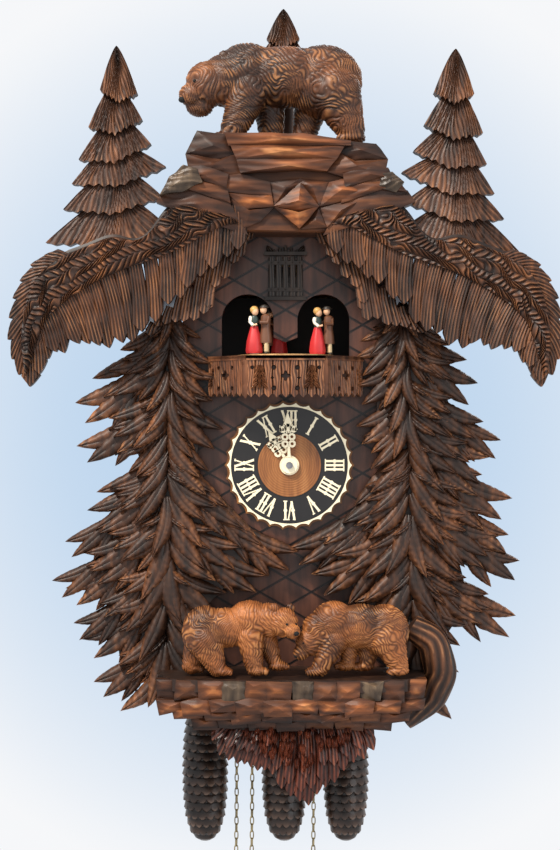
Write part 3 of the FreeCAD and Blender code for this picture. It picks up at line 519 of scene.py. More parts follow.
def tiered_fir(name, top, tiers, y_back, deep, replaced, seed):
    """Pointed fir of overlapping skirts, each grooved down to a hanging edge with a point at each side."""
    rand = np.random.default_rng(seed)
    mesh = Mesh()
    count = len(tiers)
    for index in range(count - 1, -1, -1):
        left, right = np.array(tiers[index][0], float), np.array(tiers[index][1], float)
        low_z = min(left[1], right[1])
        if index == 0:
            head = np.array([top[0], top[1]])
        else:
            above = tiers[index - 1]
            head = np.array([top[0] + rand.uniform(-0.002, 0.002), (above[0][1] + above[1][1]) / 2 + 0.012])
        columns, rows = 91, 30
        v = np.linspace(-1, 1, columns)
        u = np.linspace(0, 1, rows)[:, None]
        share = (v + 1) / 2
        hang = np.interp(v, [-1, -0.86, -0.5, 0, 0.5, 0.86, 1],
                         [0, -0.002, -0.004, -0.010, -0.004, -0.002, 0])
        edge = np.stack([left[0] + (right[0] - left[0]) * share,
                         left[1] + (right[1] - left[1]) * share + hang], -1)
        edge[:, 1] -= 0.0035 * ridge(share * 9 + rand.uniform(0, 1)) * (1 - np.abs(v) ** 4)
        x = head[0] + (edge[:, 0] - head[0]) * u
        z = head[1] + (edge[:, 1] - head[1]) * (u ** (1.0 + 0.35 * np.abs(v)))
        strands = 15 + 2 * index
        groove = ridge(share * strands + 0.8 * np.sin(u * 4 + share * 9 + index)) ** 0.7
        depth = deep * (0.42 + 0.58 * u ** 0.9) * (0.80 + 0.20 * np.cos(v * 1.3)) * (1.0 - 0.04 * index)
        depth = depth + 0.0016 * (groove - 0.5) * np.clip(u * 3, 0.2, 1)
        points = np.stack([x, y_back - depth, z], -1)
        # Stored relief darkens each skirt near its head, under the skirt above, and in its grooves: painted
        # shade.
        relief = (0.18 + 0.72 * u ** 0.8) * (0.35 + 0.65 * groove)
        mesh.grid(points, relief, y_back)
    mesh.make(name, CARVED, "case", replaced)


def mm(points):
    return [(x * MM, z * MM) for x, z in points]


def side_trees():
    dial_reach = (DIAL[[0, 2]], DIAL_KEEP_OFF)
    left = mm([(-142, -88), (-165, -111), (-189, -142), (-208, -169), (-206, -210), (-175, -200),
               (-163, -220),
               (-185, -260), (-198, -279), (-222, -308), (-232, -350), (-217, -358), (-214, -394),
               (-199, -413),
               (-189, -453), (-161, -437), (-143, -446)])
    right = mm([(-98, -92), (-85, -120), (-81, -142), (-83, -166), (-74, -196), (-80, -219), (-60, -256),
                (-30, -287),
                (-14, -307), (4, -322), (-30, -345), (-70, -372), (-90, -420)])
    fir("carved_tree_left", mm([(-120, -56), (-124, -424)]), left, right, TREE_BACK_Y, 0.024, 0.070,
        ["side_tree_left"], 3, keep_off=dial_reach)
    left = mm([(96, -78), (87, -99), (80, -120), (79, -150), (79, -191), (89, -200), (72, -254), (77, -266),
               (40, -292), (45, -306), (14, -316), (40, -348), (78, -376), (104, -420)])
    right = mm([(152, -92), (163, -102), (175, -125), (190, -150), (218, -206), (191, -210), (201, -231),
                (224, -269),
                (229, -304), (238, -332), (206, -320), (232, -391), (204, -378), (181, -400), (168, -440)])
    fir("carved_tree_right", mm([(122, -50), (134, -424)]), left, right, TREE_BACK_Y, 0.024, 0.070,
        ["side_tree_right"], 4, keep_off=dial_reach)


def roof_trees():
    back = high("roof_tree_left")[1]
    tiers = [((-190, 172), (-152, 169)), ((-202, 134), (-147, 142)), ((-212, 101), (-138, 117)),
             ((-219, 76), (-123, 94)), ((-228, 50), (-126, 63)), ((-246, 16), (-118, 30))]
    tiered_fir("carved_roof_tree_left", mm([(-174, 219)])[0], [mm(tier) for tier in tiers], back, 0.018,
               ["roof_tree_left"], 5)
    tiers = [((152, 170), (193, 168)), ((142, 137), (202, 128)), ((131, 110), (206, 96)),
             ((119, 88), (214, 66)),
             ((122, 58), (224, 40)), ((116, 28), (240, 6))]
    tiered_fir("carved_roof_tree_right", mm([(175, 216)])[0], [mm(tier) for tier in tiers], back, 0.018,
               ["roof_tree_right"], 6)


# ---- Eave boughs ----------------------------------------------------------------------------------
def curve_through(points, count):
    """Smooth positions along a given line, evenly spread in its own parameter."""
    points = np.array(points, float)
    knots = np.linspace(0, 1, len(points))
    fine = np.linspace(0, 1, 400)
    raw = np.stack([np.interp(fine, knots, points[:, k]) for k in range(points.shape[1])], -1)
    kernel = np.hanning(81)
    kernel /= kernel.sum()
    padded = np.concatenate([2 * raw[:1] - raw[40:0:-1], raw, 2 * raw[-1:] - raw[-2:-42:-1]])
    smooth = np.stack([np.convolve(padded[:, k], kernel, "valid") for k in range(points.shape[1])], -1)
    return np.stack([np.interp(np.linspace(0, 1, count), fine, smooth[:, k])
                     for k in range(points.shape[1])], -1)


def eave_bough(name, side, replaced, y_back, seed):
    """Broad bough along the eave: a herringbone-chipped back, and grooved fingers below and at its end."""
    rand = np.random.default_rng(seed)
    mesh = Mesh()

    def traced(points):
        return curve_through(mm([(side * x, z) for x, z in points]), CURVE_STEPS)

    upper = traced([(-48, 38), (-80, 50), (-112, 60), (-126, 48), (-142, 20), (-160, 18), (-176, 28), (-205, 12),
                    (-238, 4), (-262, -14), (-276, -50), (-276, -92), (-266, -122)])
    lower = traced([(-44, 34), (-66, 32), (-90, 18), (-114, 5), (-145, -6), (-175, -16), (-202, -30), (-226, -46),
                    (-244, -62), (-252, -82), (-258, -104), (-264, -124)])
    tips = traced([(-44, 14), (-66, -6), (-90, -22), (-112, -42), (-134, -66), (-156, -84), (-178, -94),
                   (-200, -88), (-222, -92), (-240, -104), (-254, -120), (-261, -130)])
    fingers, last = 20, CURVE_STEPS - 1
    for index in list(range(1, fingers, 2)) + list(range(0, fingers + 1, 2)):
        share = (index + 0.5) / (fingers + 1)
        root = lower[int(last * share)] + np.array([0, 0.019])
        tip = (tips[int(last * min(1, share + 0.012 * rand.uniform(-1, 1)))]
               + np.array([0, rand.uniform(-0.004, 0.004)]))
        feather(mesh, root, tip, 0.0088, y_back, 0.011, 0.0085 if index % 2 else 0.012, 5, 24,
                side * 0.03, 0.8)
    outer = [((-222, -4), (-246, 2)), ((-231, -9), (-260, -8)), ((-240, -16), (-271, -24)),
             ((-247, -26), (-278, -42)),
             ((-251, -38), (-282, -62)), ((-254, -52), (-283, -84)), ((-257, -66), (-279, -104)),
             ((-259, -82), (-272, -120)), ((-254, -84), (-261, -132))]
    for index, (root, tip) in enumerate(outer):
        feather(mesh, mm([(side * root[0], root[1])])[0], mm([(side * tip[0], tip[1])])[0], 0.0092, y_back,
                0.012,
                0.009 + 0.0012 * (index % 2), 5, 22, -side * 0.05, 0.9)
    sheet_rows, across = 560, 110
    share = np.linspace(0, 1, sheet_rows)
    evenly = np.linspace(0, 1, CURVE_STEPS)
    low_edge, high_edge = (np.stack([np.interp(share, evenly, line[:, k]) for k in (0, 1)], -1)
                           for line in (lower, upper))
    shrink = np.clip((share - 0.62) / 0.38, 0, 1)[:, None]
    inner = high_edge + (low_edge - high_edge) * 0.42 * shrink
    t = np.linspace(0, 1, across)[None, :]
    place = low_edge[:, None, :] + (inner - low_edge)[:, None, :] * t[..., None]
    steps = np.hypot(*np.diff((low_edge + inner) / 2, axis=0).T)
    travel = np.concatenate([[0], np.cumsum(steps)])[:, None] + 0 * t
    wide = np.hypot(*(inner - low_edge).T)[:, None]
    climb = wide * t
    wander = lattice_noise(np.stack([travel.ravel() * 70, climb.ravel() * 70, 0 * travel.ravel()], -1), seed)
    wander = wander.reshape(travel.shape) - 0.5
    row = (climb + 0.011 * wander) / 0.0098
    line = np.floor(row)
    inside = row - line
    way = np.where(line % 2 == 0, 1.0, -1.0)
    chip = travel / 0.0062 + way * (inside - 0.5) * 1.5 + 0.37 * line + wander * 2.6
    part = chip - np.floor(chip)
    scoop = np.where(part < 0.3, 1 - part / 0.3, (part - 0.3) / 0.7)
    scoop = scoop * np.sin(np.pi * np.clip(inside, 0.02, 0.98)) ** 0.35
    step = np.clip((t - 0.90) / 0.035, 0, 1) * (1 - shrink)
    crown = np.sin(np.pi * np.clip(t * 0.86 + 0.09, 0, 1)) ** 0.6
    ends = np.clip(np.minimum(share, 1 - share) / 0.03, 0, 1)[:, None]
    depth = 0.0105 + 0.0065 * crown * ends + 0.0030 * (scoop - 0.5) * (1 - step) - 0.0065 * step
    points = np.stack([place[..., 0], y_back - depth, place[..., 1]], -1)
    # Stored relief darkens the scoops of the chips and the step along the edge: painted shade.
    relief = np.where(step > 0.5, 0.12, 0.08 + 0.90 * scoop)
    mesh.grid(points, relief, y_back)
    mesh.make(name, CARVED, "case", replaced)


def eaves():
    eave_bough("carved_eave_left", 1, ["eave_bough_left"], ROOF_FRONT_Y, 71)
    eave_bough("carved_eave_right", -1, ["eave_bough_right"], ROOF_FRONT_Y, 72)


def eave_fringe():
    """Grooved strips that hang side by side under the roof's front edge."""
    back, front = high("eave_fringe")[1], low("eave_fringe")[1]
    for side, name in ((-1, "slat_fringe_left"), (1, "slat_fringe_right")):
        mesh = Mesh()
        rand = np.random.default_rng(11 + side)
        edge = curve_through(mm([(-24, 38), (-43, 12), (-60, -14), (-82, -42), (-78, -58), (-100, -64),
                                 (-124, -70),
                                 (-141, -76)]), PATH_STEPS)
        strips = 17
        for index in range(strips):
            foot_x, foot_z = edge[int((PATH_STEPS - 1) * index / (strips - 1))]
            x = side * -foot_x
            top = min(0.075 - abs(x), foot_z + 0.062)
            feather(mesh, (x - side * 0.006, top), (x, foot_z + rand.uniform(-0.004, 0.004)), 0.0056, back,
                    0.002, back - front - 0.001 * (index % 2), 3, 16, 0.0, 0.5, 0.0011)
        mesh.make(name, CARVED, "case", ["eave_fringe"])


# ---- Rock, summit and ledge ------------------------------------------------------------------------
def gem(mesh, outline, y_edge, y_apex, y_back, relief=0.6, apex=None, seed=0):
    """Chiselled facet: a block of an (x, z) outline whose front rises in flats to one high point."""
    outline = np.array(outline, float) * MM
    rand = np.random.default_rng(seed + len(outline))
    count = len(outline)
    centre = outline.mean(0) if apex is None else np.array(apex, float) * MM
    edge_y = y_edge + rand.uniform(-0.0015, 0.0015, count)
    front = np.stack([outline[:, 0], edge_y, outline[:, 1]], -1)
    back = np.stack([outline[:, 0], np.full(count, y_back), outline[:, 1]], -1)
    top = np.array([[centre[0], y_apex, centre[1]]])
    following = [(i + 1) % count for i in range(count)]
    faces = [[i, following[i], 2 * count] for i in range(count)]
    faces += [[count + i, count + following[i], following[i], i] for i in range(count)]
    faces.append([count + i for i in range(count)][::-1])
    # Stored relief paints each facet darker at its rim and lighter at its high point as painted shade and
    # highlight, and its back near black as painted shade.
    stored = np.concatenate([np.full(count, relief * 0.45), np.full(count, 0.05), [min(1.0, relief * 1.15)]])
    mesh.solid(np.concatenate([front, back, top]), faces, stored)


def prism(mesh, outline, y_front, y_back, relief=0.6, inset=0.0):
    """Board of an (x, z) outline whose front edge is chamfered by the inset."""
    outline = np.array(outline, float)
    count = len(outline)
    centre = outline.mean(0)
    away = outline - centre
    shrunk = centre + away * (1 - inset / np.maximum(np.linalg.norm(away, axis=1), 1e-6))[:, None]
    rings = [(outline, y_back), (outline, y_front + inset), (shrunk, y_front)]
    points = np.concatenate([np.stack([ring[:, 0], np.full(count, y), ring[:, 1]], -1) for ring, y in rings])
    mesh.loft(points, count, relief)


def roughen(piece, cuts, amount, pitch, seed, angle=32.0):
    """Splits flat facets finely and cuts wandering grooves along the grain into them."""
    work = bmesh.new()
    work.from_mesh(piece.data)
    bmesh.ops.triangulate(work, faces=work.faces)
    bmesh.ops.subdivide_edges(work, edges=work.edges, cuts=cuts, use_grid_fill=True)
    work.to_mesh(piece.data)
    work.free()
    mesh = piece.data
    points = stored_values(mesh.vertices, "co")
    wander = lattice_noise(points / (pitch * 4, pitch * 4, pitch * 3), seed) - 0.5
    break_up = lattice_noise(points / (pitch * 2.2, pitch, pitch * 1.1), seed + 1)
    groove = ridge(points[:, 2] / pitch + 2.2 * wander) ** 0.8
    height = 0.40 * groove + 0.60 * break_up
    points[:, 1] -= amount * (height - 0.5)
    points[:, 2] += 0.6 * amount * (break_up - 0.5)
    mesh.vertices.foreach_set("co", points.astype(np.float32).ravel())
    base = stored_values(mesh.attributes["relief"].data, "value", 1).ravel()
    # The grooves darken the stored relief as painted shade.
    stored = np.clip(base * (0.62 + 0.72 * height), 0, 1)
    mesh.attributes["relief"].data.foreach_set("value", stored.astype(np.float32))
    shade_smooth(mesh, angle)
    mesh.update()


def summit():
    """Craggy stump under the top bear: a split plank painted bright as lit, side blocks painted dark as shade,
    and a fan of facets below.
    """
    front = low("summit_rock")[1]
    back = high("summit_rock")[1]
    mesh = Mesh()
    core = mm([(-88, 122), (-97, 104), (-95, 90), (-76, 78), (-108, 68), (-44, 26), (44, 26), (112, 50),
               (96, 76),
               (98, 96), (88, 110), (60, 116), (20, 121)])
    # The core behind the facets has a low stored relief, so it shows dark between them as painted shade.
    prism(mesh, core, front + 0.020, back, 0.25, 0.002)
    # Each facet: outline, edge and apex depth in mm, and a stored relief that paints it lighter where lit or
    # darker where in shade.
    facets = [
        ([(-62, 125), (18, 124), (66, 117), (66, 112), (-58, 112)], 6, 1, 0.95),
        ([(-56, 112), (60, 112), (52, 99), (-50, 98)], 7, 0, 1.00),
        ([(-50, 98), (52, 99), (42, 86), (12, 88), (-46, 84)], 7, 2, 0.80),
        ([(-90, 128), (-58, 124), (-50, 104), (-66, 99), (-102, 104)], 12, 5, 0.12),
        ([(-102, 104), (-66, 99), (-50, 104), (-46, 84), (-79, 80), (-99, 90)], 12, 6, 0.40),
        ([(58, 118), (92, 115), (104, 99), (70, 97), (55, 106)], 12, 6, 0.22),
        ([(55, 106), (70, 97), (104, 99), (100, 80), (62, 80), (42, 86)], 12, 5, 0.55),
        ([(-79, 80), (-46, 84), (-16, 76), (-14, 62), (-62, 66)], 13, 9, 0.50),
        ([(-62, 66), (-14, 62), (-12, 51), (-40, 48)], 14, 8, 0.85),
        ([(-62, 66), (-40, 48), (-12, 51), (-26, 36), (-42, 29)], 16, 11, 0.30),
        ([(-16, 76), (15, 80), (15, 74), (-12, 51)], 14, 10, 0.35),
        ([(-12, 51), (15, 75), (34, 51), (15, 45)], 9, 1, 0.75),
        ([(-12, 51), (15, 45), (34, 51), (14, 28)], 11, 4, 1.00),
        ([(15, 80), (44, 76), (34, 51), (15, 75)], 14, 9, 0.45),
        ([(44, 76), (62, 80), (88, 64), (34, 51)], 13, 7, 0.70),
        ([(34, 51), (88, 64), (62, 44), (42, 30)], 15, 10, 0.40),
        ([(34, 51), (42, 30), (14, 28)], 16, 12, 0.20),
    ]
    for index, (outline, edge, apex, relief) in enumerate(facets):
        gem(mesh, outline, front + edge * MM, front + apex * MM, front + 0.030, relief, seed=60 + index)
    prism(mesh, mm([(-90, 124), (-60, 122), (0, 123), (60, 118), (88, 113), (70, 112), (-60, 112)]),
          front + 0.012,
          back + 0.004, 0.3, 0.003)
    roughen(mesh.make("summit_crag", ROCK, "case", ["summit_rock"], smooth=False), 9, 0.0018, 0.0070, 5)
    flanks, pale = Mesh(), Mesh()
    steps = [([(38, 22), (84, 36), (132, 56), (124, 68), (98, 74), (60, 60)], 15, 11, 0.35),
             ([(56, 54), (98, 68), (124, 66), (112, 80), (94, 84), (60, 74)], 12, 8, 0.55),
             ([(60, 70), (94, 80), (110, 80), (104, 90), (84, 92), (58, 84)], 9, 6, 0.40)]
    for side in (-1, 1):
        for index, (outline, edge, apex, relief) in enumerate(steps):
            gem(flanks, [(side * x, z) for x, z in outline], front + edge * MM, front + apex * MM,
                front + 0.034, relief,
                seed=900 + index)
    gem(pale, [(-128, 62), (-104, 66), (-84, 74), (-90, 88), (-104, 92), (-118, 80)], front + 0.007,
        front + 0.003,
        front + 0.030, 0.8, seed=950)
    gem(pale, [(94, 70), (112, 66), (120, 74), (108, 86), (98, 84)], front + 0.009, front + 0.005,
        front + 0.030, 0.6,
        seed=951)
    roughen(flanks.make("summit_flanks", ROCK, "case", smooth=False), 9, 0.0022, 0.0070, 6)
    roughen(pale.make("summit_pale_patch", PALE_ROCK, "case", smooth=False), 9, 0.0040, 0.0060, 7)
    tiers = [((-20, 240), (15, 240)), ((-30, 216), (26, 216)), ((-36, 186), (32, 186))]
    tiered_fir("carved_centre_tree", mm([(-2, 273)])[0], [mm(tier) for tier in tiers], back - 0.006, 0.012,
               [], 8)
    trunk = Mesh()
    tube(trunk, [(0, back - 0.010, 0.110), (0.0004, back - 0.011, 0.160), (0, back - 0.012, 0.205)], 0.009,
         14)
    trunk.make("centre_tree_trunk", CARVED, "case")


def ledge():
    """Rock shelf: a standing floor painted dark as the shade of its recess, upright facets along its edge and
    long split layers below.
    """
    mesh, pale = Mesh(), Mesh()
    left, right = low("ledge_rock")[0], high("ledge_rock")[0]
    front, back = low("ledge_rock")[1], high("ledge_rock")[1]
    top = LEDGE_TOP / MM
    rand = np.random.default_rng(31)
    plan = [(left + 0.002, back), (left + 0.002, back - 0.060), (left + 0.020, front + 0.018),
            (left + 0.050, front + 0.010),
            (right - 0.060, front + 0.008), (right - 0.022, front + 0.016), (right - 0.002, back - 0.062),
            (right - 0.002, back)]
    outlines = [(x, y, z) for z in (LEDGE_TOP - 0.012, LEDGE_TOP) for x, y in plan]
    floor = Mesh()
    floor.loft(outlines, len(plan), 0.2)
    floor.make("ledge_floor", DARK_FLOOR, "case", smooth=False)
    xs = np.linspace(left / MM + 2, right / MM - 2, 13)
    lean = 4.0

    def front_at(x):
        return front + 0.004 + 0.020 * (abs(x * MM - (left + right) / 2) / ((right - left) / 2)) ** 4

    for index in range(12):
        x0, x1 = xs[index] + rand.uniform(-2, 2), xs[index + 1] + rand.uniform(-2, 2)
        lower = top - 21 + rand.uniform(-3, 3)
        outline = [(x0, top - 0.5), (x1, top - 1.0), (x1 + lean * rand.uniform(-1, 1), lower),
                   (x0 + lean * rand.uniform(-1, 1), lower - 2)]
        y = front_at((x0 + x1) / 2)
        target = pale if index in (3, 6, 9) else mesh
        gem(target, outline, y + 0.003, y - 0.0015 * rand.uniform(0, 1), back - 0.03, rand.uniform(0.25, 0.9),
            ((x0 + x1) / 2 + rand.uniform(-4, 4), top - 9 + rand.uniform(-5, 4)), 40 + index)
    # Each lower layer sits further back with less stored relief, so it comes out darker: painted shade under the
    # layer above.
    layers = [(-20, -33, 0, 0.85, 10), (-30, -42, 6, 0.55, 8), (-38, -50, 12, 0.30, 7)]
    for layer, (z0, z1, back_step, relief, parts) in enumerate(layers):
        inset = 4 + layer * 17
        edges = np.linspace(left / MM + inset, right / MM - inset, parts + 1)
        for index in range(parts):
            x0, x1 = edges[index] - rand.uniform(0, 3), edges[index + 1] + rand.uniform(0, 3)
            outline = [(x0, top + z0 + rand.uniform(-2, 2)), ((x0 + x1) / 2, top + z0 + rand.uniform(-1, 4)),
                       (x1, top + z0 + rand.uniform(-2, 2)), (x1 - 2, top + z1 + rand.uniform(-2, 3)),
                       (x0 + 3, top + z1 + rand.uniform(-4, 2))]
            y = front_at((x0 + x1) / 2) + back_step * MM
            gem(mesh, outline, y + 0.002, y - 0.003, back - 0.02, relief + rand.uniform(-0.25, 0.2),
                seed=80 + layer * 20 + index)
    roughen(mesh.make("ledge_crag", ROCK, "case", ["ledge_rock"], smooth=False), 7, 0.0024, 0.0085, 8)
    roughen(pale.make("ledge_pale_facets", PALE_ROCK, "case", smooth=False), 7, 0.0034, 0.0080, 9)
    log = Mesh()
    bark_tube(log, [(0.128, -0.196, -0.376), (0.150, -0.196, -0.392), (0.160, -0.194, -0.424),
                    (0.150, -0.192, -0.452),
                    (0.122, -0.190, -0.474)], 0.017)
    log.make("ledge_log", CARVED, "case")


def bark_tube(mesh, path, radius):
    """Branch with long grooves, tapering to its ends."""
    line = curve_through(path, PATH_STEPS)
    sides = 72
    around = np.linspace(0, 2 * np.pi, sides, endpoint=False)
    points, relief = [], []
    for index, spot in enumerate(line):
        ahead = line[min(index + 1, PATH_STEPS - 1)] - line[max(index - 1, 0)]
        ahead = ahead / np.linalg.norm(ahead)
        first = np.cross(ahead, (0, 1.0, 0))
        first /= np.linalg.norm(first)
        second = np.cross(ahead, first)
        share = index / (PATH_STEPS - 1)
        groove = ridge(around * 11 / (2 * np.pi) + 0.5 * np.sin(share * 7)) ** 0.8
        size = radius * (0.55 + 0.45 * np.sin(np.pi * (0.15 + 0.8 * share))) * (0.93 + 0.07 * groove)
        points.append(spot + size[:, None]
                      * (np.cos(around)[:, None] * first + np.sin(around)[:, None] * second))
        # Stored relief darkens the grooves as painted shade.
        relief.append(0.1 + 0.85 * groove)
    mesh.loft(np.concatenate(points), sides, np.concatenate(relief))


def ledge_fringe():
    """Long-grooved leaves that hang under the ledge, longest right of the middle."""
    mesh = Mesh()
    back, front = high("ledge_fringe")[1], low("ledge_fringe")[1]
    rand = np.random.default_rng(17)
    edge = curve_through(mm([(-76, -484), (-66, -502), (-50, -512), (-40, -504), (-30, -520), (-20, -512),
                             (-6, -530),
                             (8, -544), (22, -553), (34, -540), (48, -526), (62, -512), (78, -502),
                             (93, -490)]), 120)
    for layer, (count, pull, depth) in enumerate([(20, 0, 0.55), (15, 12, 0.78), (9, 26, 1.0)]):
        for index in range(count):
            share = (index + 0.5 + 0.2 * (layer % 2)) / count
            x, z = edge[int(119 * min(share, 1))]
            z = z + pull * MM + rand.uniform(-0.003, 0.003)
            if z > -0.480:
                continue
            feather(mesh, (0.010 + (x - 0.010) * 0.80, -0.462), (x, z), 0.0064 - 0.0005 * layer, back,
                    (back - front) * 0.35 * depth, (back - front) * (0.95 * depth), 3, 22, 0.02, 0.9, 0.0013)
    mesh.make("fringe_leaves", FRINGE, "case", ["ledge_fringe"])
    chips = Mesh()
    for index in range(60):
        x = rand.uniform(-0.040, 0.064)
        reach = 0.046 - 0.62 * abs(x - 0.012)
        if reach < 0.004:
            continue
        z = -0.470 - rand.uniform(0, 1) * reach
        leaf(chips, (x, z + 0.006), (x + rand.uniform(-0.002, 0.002), z - 0.007), 0.0034, back, 0.004,
             (back - front) * 1.12, 2, rows=8, columns=7, cut=0.0006)
    chips.make("fringe_chips", FRINGE, "case")


# ---- Bears ----------------------------------------------------------------------------------------
def blob(parts, name, voxel, rounds):
    """Melts ellipsoids and limbs into one skin; a limb is a chain of balls."""
    work = bmesh.new()
    for centre, radii in parts:
        made = bmesh.ops.create_icosphere(work, subdivisions=3, radius=1.0)
        for vert in made["verts"]:
            vert.co = Vector([c + r * k for c, r, k in zip(centre, radii, vert.co)])
    mesh = bpy.data.meshes.new(name)
    work.to_mesh(mesh)
    work.free()
    holder = bpy.data.objects.new(name, mesh)
    bpy.context.scene.collection.objects.link(holder)
    remesh = holder.modifiers.new("skin", "REMESH")
    remesh.mode = "VOXEL"
    remesh.voxel_size = voxel
    soften = holder.modifiers.new("soften", "SMOOTH")
    soften.factor = 0.6
    soften.iterations = rounds
    fine = bpy.data.meshes.new_from_object(holder.evaluated_get(bpy.context.evaluated_depsgraph_get()))
    bpy.data.objects.remove(holder)
    return fine


def fur(mesh, facing, amount, cell, seed):
    """Cuts short wavy strokes into the skin, sweeping back and down."""
    points, normals = stored_values(mesh.vertices, "co"), stored_values(mesh.vertices, "normal")
    flat = points * (1, 0.25, 1)
    broad = lattice_noise(flat / (cell * 7), seed) - 0.5
    wave = lattice_noise(flat / (cell * 2.6), seed + 1) - 0.5
    turn = math.radians(-24) * facing
    flat = flat - flat.mean(0)
    across = flat[:, 0] * math.cos(turn) + flat[:, 2] * math.sin(turn) + cell * 7.0 * broad + 0.5 * flat[:, 1]
    down = -flat[:, 0] * math.sin(turn) + flat[:, 2] * math.cos(turn) + cell * 4.0 * broad
    row = down / (cell * 3.0) + wave * 1.3
    line = np.floor(row)
    inside = row - line
    offset = np.modf(np.abs(np.sin(line * 12.9898 + np.floor(across / (cell * 3)) * 4.1) * 43758.5453))[0]
    stroke = across / cell + wave * 1.5 + offset * 0.8 + (inside - 0.5) * 0.9
    part = stroke - np.floor(stroke)
    height = np.sin(np.pi * part) ** 0.7 * (0.45 + 0.55 * np.sin(np.pi * inside) ** 0.5)
    points += normals * ((height - 0.55) * amount)[:, None]
    mesh.vertices.foreach_set("co", points.astype(np.float32).ravel())
    # Stored relief darkens the cuts between strokes as painted shade.
    stored = mesh.attributes.new("relief", "FLOAT", "POINT")
    stored.data.foreach_set("value", np.clip(0.10 + 0.95 * height, 0, 1).astype(np.float32))
    mesh.update()


def limb(parts, start, end, radius_start, radius_end, steps=8):
    start, end = np.array(start, float), np.array(end, float)
    for step in range(steps):
        share = step / (steps - 1)
        radius = radius_start + (radius_end - radius_start) * share
        parts.append((start + (end - start) * share, (radius, radius * 0.92, radius)))


def make_bear(name, node, facing, material, masses, limbs, paws, ears, eyes, nose, stretch=1.0, tall=1.0):
    """Bear from masses and legs placed in body heights: along from the head, up, and away from the front."""
    a, b = corners(node)
    height = b[2] - a[2]
    y_middle = (a[1] + b[1]) / 2

    def at(along, up, across):
        along = along * stretch * height
        x = a[0] - 0.003 + along if facing < 0 else b[0] + 0.003 - along
        return np.array((x, y_middle + across * height, b[2] + 0.003 - (1 - up) * tall * height))

    parts = [(at(*place), tuple(r * height for r in radii)) for place, radii in masses]
    for start, end, wide, narrow in limbs:
        limb(parts, at(*start), at(*end), wide * height, narrow * height)
    for along, up, across in paws:
        parts.append((at(along, up, across), (0.145 * height, 0.11 * height, 0.068 * height)))
        for toe in (-0.055, 0.0, 0.055):
            parts.append((at(along - 0.10, up - 0.012, across + toe),
                          (0.045 * height, 0.034 * height, 0.040 * height)))
    for along, up, across in ears:
        parts.append((at(along, up, across), (0.060 * height, 0.040 * height, 0.066 * height)))
    mesh = blob(parts, name, height / BEAR_VOXELS, 4)
    fur(mesh, facing, height * 0.016, height * 0.038, 9)
    finished(mesh, name, material, "case", [node], angle=180.0)
    face = Mesh()
    for place in eyes:
        ball(face, at(*place), 0.017 * height)
    ball(face, at(*nose), 0.040 * height, (1.0, 1.2, 0.8))
    face.make(name + "_eyes_nose", BLACK_PAINT_AND_SHADE, "case")


def ball(mesh, centre, radius, stretch=(1, 1, 1), rings=8):
    """Small rounded bead."""
    points = []
    around = rings * 2
    for i in range(rings + 1):
        polar = math.pi * i / rings
        for j in range(around):
            angle = 2 * math.pi * j / around
            points.append((centre[0] + radius * stretch[0] * math.sin(polar) * math.cos(angle),
                           centre[1] + radius * stretch[1] * math.sin(polar) * math.sin(angle),
                           centre[2] + radius * stretch[2] * math.cos(polar)))
    mesh.loft(points, around, capped=False)


